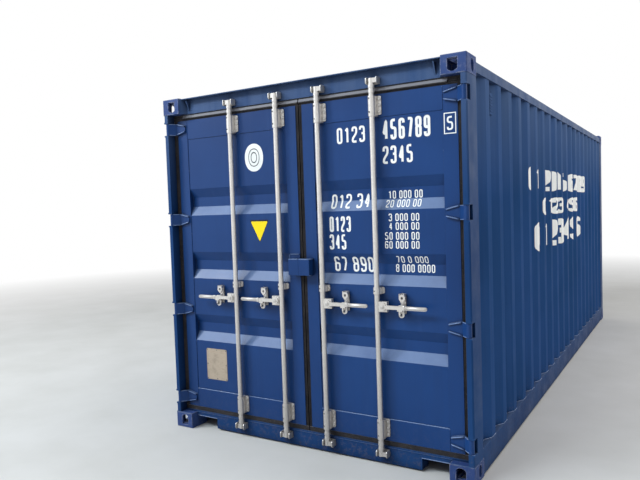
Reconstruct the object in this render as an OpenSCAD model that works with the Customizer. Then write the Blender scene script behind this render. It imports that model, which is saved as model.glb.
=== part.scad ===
// Twenty foot steel dry freight container, door end at -Y, right side wall at +X.
// Millimetres. The origin lies on the ground under the middle of the box.

/* [Box] */
// Length over the corner castings
length = 6058; // [5000:1:7000]
// Width over the corner castings
width = 2438; // [2300:1:2600]
// Height over the corner castings
height = 2591; // [2400:1:2900]
// Thickness of the wall and roof sheet
sheet_t = 2; // [1.5:0.1:4]

/* [Corner castings] */
// Length of a casting along the container
cast_l = 178; // [170:1:190]
// Width of a casting
cast_w = 162; // [155:1:175]
// Height of a casting
cast_h = 118; // [112:1:130]
// Wall with the twistlock slot
cast_slot_wall = 28; // [20:1:32]
// Walls with the side and end holes
cast_hole_wall = 20; // [14:1:24]
// Closed walls towards the frame
cast_back_wall = 12; // [8:1:16]
// Distance of a casting's slots and holes from its side face
slot_in_x = 89.5; // [86:0.5:93]
// Distance of a casting's slots and holes from its end face
slot_in_y = 102.5; // [98:0.5:106]
// Rounding of a casting's outer edges
cast_round = 8; // [4:0.5:10]

/* [Frame] */
// Set back of the steelwork behind the faces of the castings
inset = 3; // [1:0.5:5]
// Plate thickness of the posts
post_t = 6; // [4:0.5:8]
// Width of the door post's front face
post_face = 38; // [34:1:44]
// Square tube of the top side rails
top_rail = 60; // [50:1:70]
// Wall of the top side rails
top_rail_t = 3; // [2:0.5:5]
// Height of the top of the top side rails below the castings' tops
top_rail_drop = 33; // [28:1:45]
// Height of the bottom side rails
bottom_rail_h = 162; // [145:1:170]
// Width of the bottom side rails' top flange
bottom_rail_flange = 48; // [44:1:60]
// Thickness of the bottom side rails
bottom_rail_t = 4.5; // [3:0.5:6]
// Gap between the ground and the steelwork between the castings
ground_gap = 12.5; // [11:0.5:20]

/* [Side walls] */
// Distance from recess to recess
wall_pitch = 288; // [270:1:290]
// Width of a recess's flat
wall_flat_in = 70; // [60:1:80]
// Width of a recess's slope
wall_slope = 68; // [60:1:75]
// Depth of a recess
wall_depth = 36; // [30:1:40]
// Distance of the side wall's outer flats behind the castings' faces
wall_inset = 9; // [8:0.5:12]

/* [Front wall] */
// Distance from recess to recess
front_pitch = 250; // [230:1:260]
// Width of a recess's flat
front_flat_in = 104; // [90:1:115]
// Width of a recess's slope
front_slope = 18; // [14:1:24]
// Depth of a recess
front_depth = 45.6; // [38:0.1:48]

/* [Roof] */
// Distance from rib to rib
roof_pitch = 209; // [195:1:210]
// Height of a rib
roof_rib_h = 20; // [14:1:24]

/* [Floor] */
// Thickness of the plywood
floor_t = 28; // [24:1:30]
// Cross members under the floor
cross_members = 18; // [14:1:20]
// Height of a cross member
cross_h = 122; // [110:1:126]
// Width of a cross member's flanges
cross_flange = 45; // [35:1:60]

/* [Doors] */
// Distance of the doors' outer face behind the castings' faces
door_depth = 70; // [66:1:80]
// Gap in front of the gaskets between the two doors' steel frames
door_split = 52; // [46:1:60]
// Thickness of a door
door_t = 50; // [48:1:54]
// Width of a door's stile in the middle of the container
stile_mid_w = 90; // [80:1:110]
// Width of a door's stile at the hinges
stile_out_w = 96; // [80:1:120]
// Height of a door's rails
door_rail_h = 145; // [120:1:160]
// Lowest point of a door's frame
door_bottom = 165; // [160:1:175]
// Gap above a door's frame
door_top_gap = 48; // [40:1:55]
// Width of the gasket beside the post
gasket_side = 42; // [36:1:48]
// Height of a door recess's flat
door_recess_flat = 72; // [60:1:80]
// Height of a door recess's slope
door_recess_slope = 68; // [60:1:75]
// Depth of a door recess
door_recess_depth = 36; // [30:1:40]

/* [Hinges] */
// Distance of the hinge pins behind the castings' end faces
pin_in_y = 24; // [22:0.5:26]
// Distance of the hinge pins behind the castings' side faces
pin_in_x = 27; // [25:0.5:28]
// Radius of the hinge pins
pin_r = 9; // [8:0.5:10]
// Radius of a hinge knuckle
knuckle_r = 17; // [15:0.5:17]
// Height of a hinge knuckle
knuckle_h = 90; // [80:1:100]
// Length of a hinge blade from the pin
blade_len = 140; // [125:1:150]
// Height of the lowest hinge
hinge_low = 240; // [230:1:260]
// Distance of the highest hinge below the upper castings
hinge_high_gap = 112; // [105:1:130]

/* [Lock gear] */
// Distance of the inner lock rods from the middle
rod_inner_x = 171; // [165:1:190]
// Distance of the outer lock rods from the middle
rod_outer_x = 583; // [560:1:610]
// Distance of the rods behind the castings' faces
rod_in = 32; // [31.5:0.5:36]
// Radius of a lock rod
rod_r = 17; // [16:0.5:18]
// Reach of a handle from its rod
handle_len = 350; // [320:1:370]
// Distance of the handle retainers from the rods
retainer_u = 168; // [155:1:180]

/* [Fits] */
// Clearance of a turning pin or rod in its bore
run_fit = 0.06; // [0.02:0.01:0.1]
// Gap between a rubber lip and what it seals against
seal_gap = 0.3; // [0.2:0.1:0.5]

/* [Hidden] */

container_blue = "#2c4a80";
door_blue = "#2f4f8c";
galvanised = "#b4b8b4";
rubber_grey = "#3a3a3c";
plywood_brown = "#8a5f3a";
eps = 0.01;
round_fn = 48;
small_fn = 32;

half_l = length / 2;
half_w = width / 2;
inner_l = half_l - cast_l;
inner_w = half_w - cast_w;
cast_top_z = height - cast_h;
steel_x = half_w - inset;
steel_y = half_l - inset;

post_in_x = steel_x - post_face;
rail_top_z = ground_gap + bottom_rail_h;
roof_z = height - top_rail_drop;
wall_x = half_w - wall_inset;
floor_top = rail_top_z - 1.5;

door_y = -half_l + door_depth;
door_back = door_y + door_t;
stop_gap = 5;
stop_y = door_back + stop_gap;
door_in_x = door_split / 2;
door_out_x = post_in_x - gasket_side;
stop_x = door_out_x + 10;
door_top = cast_top_z - door_top_gap;
panel_set_back = 4;
panel_low = door_bottom + door_rail_h;
panel_high = door_top - door_rail_h;
door_mid = (panel_low + panel_high) / 2;
door_recess_pitch = (panel_high - panel_low) / 4;
handle_z = door_mid - door_recess_pitch / 2 + 11.25;
tube_t = 3.2;
sill_top = cast_h + 12;
sill_step = floor_top;
header_lip = 23;
header_y = door_y - 4;
header_top = height - 6;
header_t = 4;

pin_x = half_w - pin_in_x;
pin_y = -half_l + pin_in_y;
lug_t = 12;
lug_gap = 0.5;
lug_z = knuckle_h / 2 + lug_gap;
hinge_pitch = (cast_top_z - hinge_high_gap - hinge_low) / 3;
hinge_zs = [for (i = [0:3]) hinge_low + i * hinge_pitch];
pocket_back = header_y - 3;

rod_y = -half_l + rod_in;
rod_xs = [rod_inner_x, rod_outer_x];
sleeve_r = 20;
cam_reach = 34;
cam_t = 30;
hub_u = 45;
hub_out = 14;
handle_t = 12;
handle_h = 24;
rivet_r = 8;

// The casting in its own corner, outer corner at the origin, slot face down
module casting() {
    difference() {
        intersection() {
            linear_extrude(cast_h) rounded_corner(cast_w, cast_l);
            translate([0, cast_l, 0]) rotate([90, 0, 0]) linear_extrude(cast_l) rounded_corner(cast_w, cast_h);
            rotate([90, 0, 90]) linear_extrude(cast_w) rounded_corner(cast_l, cast_h);
        }
        translate([cast_hole_wall, cast_hole_wall, cast_slot_wall])
            cube([cast_w - cast_hole_wall - cast_back_wall,
                cast_l - cast_hole_wall - cast_back_wall,
                cast_h - cast_slot_wall - cast_back_wall]);
        translate([slot_in_x, slot_in_y, -1]) linear_extrude(cast_slot_wall + 2) twistlock_slot();
        translate([slot_in_x, -1, 0]) rotate([90, 0, 0]) mirror([0, 0, 1])
            linear_extrude(cast_hole_wall + 2) shield_hole();
        translate([-1, slot_in_y, 0]) rotate([90, 0, 90])
            linear_extrude(cast_hole_wall + 2) side_hole();
    }
}

// Rectangle from the origin, its corner at the origin rounded
module rounded_corner(w, h) {
    r = cast_round;
    translate([r, 0]) square([w - r, h]);
    translate([0, r]) square([w, h - r]);
    translate([r, r]) circle(r = r, $fn = round_fn);
}

slot_long = 124;
slot_wide = 63.5;
hole_low = 25;
hole_high = 104;
side_hole_w = 51;

module twistlock_slot() {
    intersection() {
        circle(d = slot_long, $fn = round_fn);
        square([slot_wide, slot_long + 2], center = true);
    }
}

// End hole, flat edge next to the slot face and round edge away from it
module shield_hole() {
    intersection() {
        translate([-slot_wide / 2, hole_low]) square([slot_wide, hole_high - hole_low]);
        translate([0, hole_high - slot_wide * 0.62]) circle(r = slot_wide * 0.62, $fn = round_fn);
    }
    translate([-slot_wide / 2, hole_low]) square([slot_wide, (hole_high - hole_low) * 0.5]);
}

module side_hole() {
    r = side_hole_w / 2;
    translate([0, hole_low + r]) circle(r = r, $fn = round_fn);
    translate([0, hole_high - r]) circle(r = r, $fn = round_fn);
    translate([-r, hole_low + r]) square([side_hole_w, hole_high - hole_low - 2 * r]);
}

module each_corner() {
    for (sx = [0, 1]) for (sy = [0, 1])
        mirror([sx, 0, 0]) mirror([0, sy, 0])
            translate([-half_w, -half_l, 0]) children();
}

module lower_corner_castings() {
    color(container_blue) each_corner() casting();
}

module upper_corner_castings() {
    color(container_blue)
        each_corner() translate([0, 0, height]) mirror([0, 0, 1]) casting();
}

// Left parts are mirror images of right parts
module left() {
    mirror([1, 0, 0]) children();
}

post_h = cast_top_z - cast_h;
post_web_t = 10;
post_round = 12;
pocket_plate = 5;

module door_post() {
    difference() {
        translate([0, 0, cast_h]) linear_extrude(post_h) difference() {
            union() {
                translate([post_in_x, -steel_y]) square([post_face - post_round, steel_y - inner_l]);
                translate([post_in_x, post_round - steel_y]) square([post_face, steel_y - post_round - inner_l]);
                translate([steel_x - post_round, post_round - steel_y]) circle(r = post_round, $fn = round_fn);
                translate([stop_x, stop_y]) square([steel_x - stop_x, -inner_l - stop_y]);
            }
            translate([post_in_x + post_t, -steel_y + post_t])
                square([post_face - 2 * post_t, steel_y + stop_y - post_t]);
            translate([stop_x + post_web_t, stop_y + post_web_t])
                square([steel_x - post_t - stop_x - post_web_t, -inner_l - stop_y - 2 * post_web_t]);
        }
        for (z = hinge_zs)
            translate([post_in_x - 1, -half_l, z - lug_z - lug_t])
                cube([post_face + 2, pocket_back + half_l, 2 * (lug_z + lug_t)]);
    }
    for (z = hinge_zs) translate([post_in_x + post_t - eps, pocket_back, z - lug_z - lug_t])
        cube([post_face - 2 * post_t + 2 * eps, pocket_plate, 2 * (lug_z + lug_t)]);
}

module right_door_post() {
    color(container_blue) door_post();
}

module left_door_post() {
    color(container_blue) left() door_post();
}

front_lip_x = inner_w + 33;
front_post_lip = 34;

// Closed L section, one leg beside the side wall and one beside the front wall
module front_post() {
    translate([0, 0, cast_h]) linear_extrude(post_h) {
        translate([steel_x - post_t, inner_l]) square([post_t, steel_y - inner_l]);
        translate([front_lip_x, steel_y - post_t]) square([steel_x - front_lip_x, post_t]);
        translate([front_lip_x, steel_y - front_post_lip - post_t]) square([post_t, front_post_lip + post_t]);
        translate([steel_x - front_post_lip - post_t, inner_l]) square([front_post_lip + post_t, post_t]);
        translate([front_lip_x, steel_y - front_post_lip - post_t])
            square([steel_x - front_lip_x - front_post_lip - post_t, post_t]);
        translate([steel_x - front_post_lip - post_t, inner_l])
            square([post_t, steel_y - inner_l - front_post_lip]);
    }
}

module right_front_post() {
    color(container_blue) front_post();
}

module left_front_post() {
    color(container_blue) left() front_post();
}

// Extrude a profile drawn in Y and Z along X, from -half to +half
module along_x(half) {
    translate([-half, 0, 0]) rotate([90, 0, 90]) linear_extrude(2 * half) children();
}

brow_out = 46;
brow_h = 18;
cheek_w = 30;
cheek_in = 4;

module door_header() {
    color(container_blue) {
        along_x(inner_w) difference() {
            translate([header_y, cast_top_z]) square([-inner_l - header_y, header_top - cast_top_z]);
            translate([header_y + header_t, cast_top_z + header_t])
                square([-inner_l - header_y - 2 * header_t, header_top - cast_top_z - 2 * header_t]);
        }
        along_x(stop_x) difference() {
            translate([stop_y, cast_top_z - header_lip]) square([-inner_l - stop_y, header_lip]);
            translate([stop_y + header_t, cast_top_z - header_lip + header_t])
                square([-inner_l - stop_y - 2 * header_t, header_lip - 2 * header_t]);
        }
        along_x(inner_w) {
            translate([header_y - brow_out, header_top - header_t]) square([brow_out + eps, header_t]);
            translate([header_y - brow_out, header_top - brow_h]) square([header_t, brow_h]);
        }
        for (s = [0, 1]) mirror([s, 0, 0]) translate([0, 0, cast_top_z]) linear_extrude(header_top - cast_top_z)
            polygon([[inner_w, -steel_y + cheek_in], [inner_w, header_y + eps], [inner_w - cheek_w, header_y + eps]]);
    }
}

sill_notch_w = 205;
sill_notch_top = 90;
sill_t = 5;

module door_sill() {
    color(container_blue) {
        difference() {
            along_x(inner_w) difference() {
                translate([header_y, ground_gap]) square([-inner_l - header_y, cast_h - ground_gap]);
                translate([header_y + sill_t, ground_gap - 1])
                    square([-inner_l - header_y - 2 * sill_t, cast_h - ground_gap - sill_t + 1]);
            }
            for (s = [-1, 1])
                translate([s * (inner_w - sill_notch_w / 2) - sill_notch_w / 2, header_y - 1, 0])
                    cube([sill_notch_w, -inner_l - header_y + 2, sill_notch_top]);
        }
        for (s = [0, 1]) mirror([s, 0, 0]) {
            translate([inner_w - sill_notch_w - sill_t, header_y, sill_notch_top])
                cube([sill_notch_w + sill_t, -inner_l - header_y, sill_t]);
            translate([inner_w - sill_notch_w - sill_t, header_y, ground_gap])
                cube([sill_t, -inner_l - header_y, sill_notch_top + sill_t - ground_gap]);
        }
        along_x(post_in_x - 1) translate([header_y, cast_h]) square([stop_y - header_y, sill_top - cast_h]);
        along_x(stop_x) difference() {
            translate([stop_y - eps, cast_h]) square([-inner_l - stop_y + eps, sill_step - cast_h]);
            translate([stop_y + sill_t, cast_h + sill_t])
                square([-inner_l - stop_y - 2 * sill_t, sill_step - cast_h - 2 * sill_t]);
        }
    }
}

front_rail_w = 64;
front_rail_t = 4;

module front_top_rail() {
    y0 = steel_y - front_rail_w;
    color(container_blue) along_x(inner_w) {
        difference() {
            translate([y0, cast_top_z]) square([front_rail_w, header_top - cast_top_z]);
            translate([y0 + front_rail_t, cast_top_z + front_rail_t])
                square([front_rail_w - 2 * front_rail_t, header_top - cast_top_z - 2 * front_rail_t]);
        }
        translate([inner_l, roof_z]) square([y0 - inner_l + eps, front_rail_t]);
    }
}

module front_bottom_rail() {
    y0 = steel_y - front_rail_w;
    color(container_blue) {
        along_x(inner_w) difference() {
            translate([y0, ground_gap]) square([front_rail_w, cast_h - ground_gap]);
            translate([y0 + sill_t, ground_gap + sill_t])
                square([front_rail_w - 2 * sill_t, cast_h - ground_gap - sill_t + 1]);
        }
        along_x(front_lip_x) difference() {
            translate([y0, cast_h - eps]) square([front_rail_w, rail_top_z - cast_h + eps]);
            translate([y0 + sill_t, cast_h - 1])
                square([front_rail_w - 2 * sill_t, rail_top_z - cast_h - sill_t + 1]);
        }
    }
}

// Extrude a profile drawn in X and Z along Y, from -half to +half
module along_y(half) {
    translate([0, half, 0]) rotate([90, 0, 0]) linear_extrude(2 * half) children();
}

module top_side_rail() {
    along_y(inner_l) difference() {
        translate([steel_x - top_rail, roof_z - top_rail]) square(top_rail);
        translate([steel_x - top_rail + top_rail_t, roof_z - top_rail + top_rail_t])
            square(top_rail - 2 * top_rail_t);
    }
}

module right_top_rail() {
    color(container_blue) top_side_rail();
}

module left_top_rail() {
    color(container_blue) left() top_side_rail();
}

bottom_rail_foot = 30;

module bottom_side_rail() {
    along_y(inner_l) {
        translate([steel_x - bottom_rail_t, ground_gap]) square([bottom_rail_t, bottom_rail_h]);
        translate([steel_x - bottom_rail_flange, rail_top_z - bottom_rail_t])
            square([bottom_rail_flange, bottom_rail_t]);
        translate([steel_x - bottom_rail_foot, ground_gap]) square([bottom_rail_foot, bottom_rail_t]);
    }
}

module right_bottom_rail() {
    color(container_blue) bottom_side_rail();
}

module left_bottom_rail() {
    color(container_blue) left() bottom_side_rail();
}

// Points of a corrugated edge: recesses centred at the pitch, from -half to +half
function recess_line(half, n, pitch, flat, slope, depth, base) = concat(
    [[-half, base]],
    [for (i = [0:n - 1]) let (c = (i - (n - 1) / 2) * pitch)
        each [[c - flat / 2 - slope, base], [c - flat / 2, base - depth],
            [c + flat / 2, base - depth], [c + flat / 2 + slope, base]]],
    [[half, base]]);

// How many waves of this width fit between the ends, with a flat at each end
function wave_count(half, pitch, wide, end) = floor((2 * half - wide - 2 * end) / pitch) + 1;

function reversed(list) = [for (i = [len(list) - 1:-1:0]) list[i]];

// Corrugated sheet in plan, its outer flats on the line y = base
module corrugated(half, n, pitch, flat, slope, depth, base) {
    outer = recess_line(half, n, pitch, flat, slope, depth, base);
    inner = [for (p = outer) [p[0], p[1] - sheet_t]];
    polygon(concat(outer, reversed(inner)));
}

wall_top = roof_z - top_rail;
sheet_end = 5;
wall_recesses = wave_count(inner_l, wall_pitch, wall_flat_in + 2 * wall_slope, sheet_end);

module side_wall() {
    translate([0, 0, rail_top_z]) linear_extrude(wall_top - rail_top_z) rotate(-90)
        corrugated(inner_l, wall_recesses, wall_pitch, wall_flat_in, wall_slope, wall_depth, wall_x);
}

module right_wall() {
    color(container_blue) side_wall();
}

module left_wall() {
    color(container_blue) left() side_wall();
}

front_wall_y = steel_y - 12;
front_recesses = wave_count(front_lip_x, front_pitch, front_flat_in + 2 * front_slope, sheet_end);

module front_wall() {
    color(container_blue) translate([0, 0, rail_top_z]) linear_extrude(cast_top_z - rail_top_z)
        corrugated(front_lip_x, front_recesses, front_pitch, front_flat_in, front_slope, front_depth,
            front_wall_y);
}

roof_half_x = steel_x - 10;
rib_crest = 60;
rib_slope = 35;
rib_end_slope = 60;
roof_edge = 56;
rib_half_x = roof_half_x - rib_end_slope - roof_edge;
roof_end = 100;
roof_ribs = wave_count(inner_l, roof_pitch, rib_crest + 2 * rib_slope, roof_end);

// Stamped ribs as a solid block, shrunk to leave the sheet
module rib_block(shrink) {
    top = roof_rib_h + sheet_t - shrink;
    intersection() {
        translate([0, 0, roof_z]) along_x(rib_half_x + rib_end_slope) for (i = [0:roof_ribs - 1])
            let (c = (i - (roof_ribs - 1) / 2) * roof_pitch)
                polygon([[c - rib_crest / 2 - rib_slope + shrink, 0], [c - rib_crest / 2 + shrink, top],
                    [c + rib_crest / 2 - shrink, top], [c + rib_crest / 2 + rib_slope - shrink, 0]]);
        translate([0, 0, roof_z]) along_y(inner_l)
            polygon([[-rib_half_x - rib_end_slope + shrink, 0], [-rib_half_x + shrink, top],
                [rib_half_x - shrink, top], [rib_half_x + rib_end_slope - shrink, 0]]);
    }
}

module roof() {
    color(container_blue) difference() {
        union() {
            translate([-roof_half_x, -inner_l, roof_z]) cube([2 * roof_half_x, 2 * inner_l, sheet_t]);
            rib_block(0);
        }
        translate([0, 0, -eps]) rib_block(sheet_t);
    }
}

floor_half_x = steel_x - bottom_rail_flange - 3;

module plywood_floor() {
    color(plywood_brown) translate([-floor_half_x, -inner_l, floor_top - floor_t])
        cube([2 * floor_half_x, inner_l + steel_y - front_rail_w, floor_t]);
}

cross_foot = 40;
cross_t = 4;
cross_top = floor_top - floor_t;
cross_end_gap = 150;

module floor_cross_members() {
    span = 2 * (inner_l - cross_end_gap);
    color(container_blue) for (i = [0:cross_members - 1])
        translate([0, -span / 2 + i * span / (cross_members - 1), 0])
            along_x(steel_x - bottom_rail_t) cross_section();
}

module cross_section() {
    z0 = cross_top - cross_h;
    translate([0, z0]) square([cross_t, cross_h]);
    translate([0, cross_top - cross_t]) square([cross_flange, cross_t]);
    translate([0, z0]) square([cross_foot, cross_t]);
}

module hinge_lugs() {
    color(container_blue) for (s = [0, 1]) mirror([s, 0, 0]) for (z = hinge_zs) for (side = [-1, 1])
        translate([0, 0, z + side * (lug_z + lug_t / 2) - lug_t / 2]) linear_extrude(lug_t) difference() {
            translate([post_in_x, -steel_y]) square([post_face, pocket_back + steel_y]);
            translate([pin_x, pin_y]) circle(r = pin_r + run_fit, $fn = round_fn);
        }
}

pin_over = 3;
pin_head_r = 12;
pin_head_h = 4;

module hinge_pins() {
    half = lug_z + lug_t;
    color(galvanised) for (s = [0, 1]) mirror([s, 0, 0]) for (z = hinge_zs)
        translate([pin_x, pin_y, z - half]) cylinder(r = pin_r, h = 2 * half, $fn = round_fn);
}

keeper_base = 5;
keeper_ear = 7;
keeper_left = 33;
keeper_right = 46;
keeper_h = 44;
keeper_out = 52;
keeper_round = 12;

// Base plate with two ears rounded at the front, the wider side towards the handle
module keeper() {
    translate([-keeper_left, 0, -keeper_h / 2]) cube([keeper_left + keeper_right, keeper_base, keeper_h]);
    for (u = [-keeper_left, keeper_right - keeper_ear]) translate([u, keeper_base - keeper_out, 0])
        rotate([90, 0, 90]) linear_extrude(keeper_ear) {
            translate([keeper_round, -keeper_h / 2]) square([keeper_out - keeper_round - eps, keeper_h]);
            translate([0, keeper_round - keeper_h / 2]) square([keeper_out - eps, keeper_h - 2 * keeper_round]);
            for (z = [-1, 1]) translate([keeper_round, z * (keeper_h / 2 - keeper_round)])
                circle(r = keeper_round, $fn = small_fn);
        }
}

cam_top_z = cast_top_z + 35;
cam_low_z = 85;
keeper_low_end = cam_low_z + keeper_h / 2 + 4;
keeper_high_end = cam_top_z - keeper_h / 2 - 4;
sleeve_h = 52;

module cam_keepers() {
    color(galvanised) for (s = [0, 1]) mirror([s, 0, 0]) for (x = rod_xs) for (z = [cam_low_z, cam_top_z])
        translate([x, header_y - keeper_base, z]) keeper();
}

vent_y = (wall_recesses - 3) / 2 * wall_pitch;
vent_z = wall_top - 138;
vent_w = 66;
vent_h = 140;
vent_out = 18;

module vent() {
    translate([wall_x - wall_depth, -vent_y - vent_w / 2, vent_z - vent_h / 2])
        cube([vent_out, vent_w, vent_h]);
}

module vents() {
    color(container_blue) for (s = [0, 1]) mirror([s, 0, 0]) vent();
}

weld_gap = 0.3;

module door_stile(x, w) {
    translate([x, door_y, door_bottom]) linear_extrude(door_top - door_bottom) difference() {
        square([w, door_t]);
        translate([tube_t, tube_t]) square([w - 2 * tube_t, door_t - 2 * tube_t]);
    }
}

// Channel with its back outwards, butted to the stiles with a weld gap
module door_rail(z) {
    x0 = door_in_x + stile_mid_w + weld_gap;
    w = door_out_x - stile_out_w - weld_gap - x0;
    translate([x0, door_y, z]) difference() {
        cube([w, door_t, door_rail_h]);
        translate([-1, tube_t, tube_t]) cube([w + 2, door_t, door_rail_h - 2 * tube_t]);
    }
}

module door_frame() {
    door_stile(door_in_x, stile_mid_w);
    door_stile(door_out_x - stile_out_w, stile_out_w);
    door_rail(door_bottom);
    door_rail(door_top - door_rail_h);
}

module right_door_frame() {
    color(door_blue) door_frame();
}

module left_door_frame() {
    color(door_blue) left() door_frame();
}

// Sheet between the stiles with three recesses, drawn in Y and Z
module door_panel() {
    y = door_y + panel_set_back;
    outer = concat([[y, panel_low]], [for (i = [-1:1]) let (c = door_mid + i * door_recess_pitch)
        each [[y, c - door_recess_flat / 2 - door_recess_slope],
            [y + door_recess_depth, c - door_recess_flat / 2],
            [y + door_recess_depth, c + door_recess_flat / 2],
            [y, c + door_recess_flat / 2 + door_recess_slope]]], [[y, panel_high]]);
    inner = [for (p = outer) [p[0] + sheet_t, p[1]]];
    x0 = door_in_x + stile_mid_w;
    x1 = door_out_x - stile_out_w;
    translate([x0, 0, 0]) rotate([90, 0, 90]) linear_extrude(x1 - x0)
        polygon(concat(outer, reversed(inner)));
}

module right_door_panel() {
    color(door_blue) door_panel();
}

module left_door_panel() {
    color(door_blue) left() door_panel();
}

gasket_front = 6;
gasket_d = 38;
gasket_mid_gap = 4.5;

// Four rubber bars round the leaf, the upright ones between the level ones
module door_gasket() {
    x0 = gasket_mid_gap;
    x1 = post_in_x - seal_gap;
    z0 = sill_top + seal_gap;
    z1 = cast_top_z - seal_gap;
    translate([0, door_y + gasket_front, 0]) {
        translate([x0, 0, z0]) cube([x1 - x0, gasket_d, door_bottom - z0]);
        translate([x0, 0, door_top]) cube([x1 - x0, gasket_d, z1 - door_top]);
        translate([x0, 0, door_bottom + weld_gap])
            cube([door_in_x - x0, gasket_d, door_top - door_bottom - 2 * weld_gap]);
        translate([door_out_x, 0, door_bottom + weld_gap])
            cube([x1 - door_out_x, gasket_d, door_top - door_bottom - 2 * weld_gap]);
    }
}

module right_door_gasket() {
    color(rubber_grey) door_gasket();
}

module left_door_gasket() {
    color(rubber_grey) left() door_gasket();
}

blade_t = 10;
blade_tip_h = 50;
blade_elbow = pin_x - door_out_x;
rib_w = 9;
rib_t = 8;

// Forged blade: a knuckle round the pin, a web back to the door, a plate that tapers to the tip
module hinge_blade() {
    face = door_y - pin_y;
    difference() {
        intersection() {
            linear_extrude(knuckle_h, center = true) union() {
                circle(r = knuckle_r, $fn = round_fn);
                polygon([[-blade_len, face - blade_t], [-blade_elbow, face - blade_t], [-14, -9], [-4, 16],
                    [-blade_elbow + 14, face - 12], [-blade_elbow + 2, face], [-blade_len, face]]);
            }
            rotate([90, 0, 0]) linear_extrude(4 * face, center = true)
                polygon([[-blade_len, -blade_tip_h / 2], [-blade_elbow, -knuckle_h / 2],
                    [knuckle_r, -knuckle_h / 2], [knuckle_r, knuckle_h / 2],
                    [-blade_elbow, knuckle_h / 2], [-blade_len, blade_tip_h / 2]]);
        }
        cylinder(r = pin_r + run_fit, h = knuckle_h + 2, center = true, $fn = round_fn);
    }
    for (s = [0, 1]) mirror([0, 0, s]) translate([0, face - blade_t + eps, 0]) rotate([90, 0, 0])
        linear_extrude(rib_t + eps) polygon([[-blade_len, blade_tip_h / 2], [-blade_elbow, knuckle_h / 2],
            [-blade_elbow, knuckle_h / 2 - rib_w], [-blade_len, blade_tip_h / 2 - rib_w]]);
}

module hinge_blades() {
    for (z = hinge_zs) translate([pin_x, pin_y, z]) hinge_blade();
}

module right_hinge_blades() {
    color(door_blue) hinge_blades();
}

module left_hinge_blades() {
    color(door_blue) left() hinge_blades();
}

guide_r = 23;
guide_half = 27;
guide_round = 8;
guide_h = 129;
guide_tab_u = 75;
guide_tab_h = 119;
tab_t = 6;
tab_round = 10;
mid_guide_h = 42;
mid_guide_left = 33;
mid_guide_right = 54;
mid_guide_z = handle_z + 101;
window_w = 9;
window_h = 16;
window_deep = 3;

// Rectangle in X and Z, centred on the X axis, with rounded corners
module rounded_plate(x0, x1, h, r) {
    translate([x0 + r, -h / 2]) square([x1 - x0 - 2 * r, h]);
    translate([x0, r - h / 2]) square([x1 - x0, h - 2 * r]);
    for (x = [x0 + r, x1 - r]) for (z = [-1, 1]) translate([x, z * (h / 2 - r)])
        circle(r = r, $fn = small_fn);
}

// Saddle round the rod from the door's face to a half round front
module saddle(h, back) {
    linear_extrude(h, center = true) {
        translate([0, rod_y]) circle(r = guide_r, $fn = round_fn);
        translate([-guide_r, rod_y]) square([2 * guide_r, back - rod_y]);
        translate([-guide_half, rod_y + rod_r - 8]) square([2 * guide_half, back - rod_y - rod_r + 8]);
    }
}

// Saddle with rounded corners, three small windows and a bolted tab on its right
module rod_guide(z, tab_z) {
    difference() {
        union() {
            translate([0, 0, z]) intersection() {
                saddle(guide_h, door_y);
                translate([0, door_y, 0]) rotate([90, 0, 0]) linear_extrude(door_y - rod_y + guide_r + 1)
                    rounded_plate(-guide_half - eps, guide_half + eps, guide_h, guide_round);
            }
            translate([0, door_y, tab_z]) rotate([90, 0, 0]) linear_extrude(tab_t)
                rounded_plate(0, guide_tab_u, guide_tab_h, tab_round);
        }
        translate([0, rod_y, z]) cylinder(r = rod_r + run_fit, h = guide_h + 2, center = true, $fn = round_fn);
        for (i = [-1:1]) translate([-window_w - 3, rod_y - guide_r - 1, z + i * guide_h / 3 - window_h / 2])
            cube([window_w, window_deep + 1, window_h]);
    }
}

module rod_guides(xs) {
    for (x = xs) translate([x, 0, 0]) {
        rod_guide(door_top - guide_h / 2 - 13, door_top - guide_tab_h / 2 - 13);
        rod_guide(door_bottom + guide_h / 2 + 18, door_bottom + guide_tab_h / 2 + 28);
        rod_guide_mid();
    }
}

module rod_guide_mid() {
    back = door_y + panel_set_back;
    translate([0, 0, mid_guide_z]) difference() {
        union() {
            saddle(mid_guide_h, back);
            translate([0, back, 0]) rotate([90, 0, 0]) linear_extrude(tab_t)
                rounded_plate(-mid_guide_left, mid_guide_right - 2, mid_guide_h, tab_round);
        }
        translate([0, rod_y, 0]) cylinder(r = rod_r + run_fit, h = mid_guide_h + 2, center = true, $fn = round_fn);
    }
}

module right_rod_guides() {
    color(galvanised) rod_guides(rod_xs);
}

module left_rod_guides() {
    color(galvanised) rod_guides([-rod_outer_x, -rod_inner_x]);
}

retainer_w = 36;
retainer_t = 6;
retainer_low = 996;
catch_pivot_z = handle_z + 76;
catch_pivot_y = door_y - 22;
catch_pin_r = 4;
catch_w = 26;
ear_t = 5;
ear_r = 9;

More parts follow.
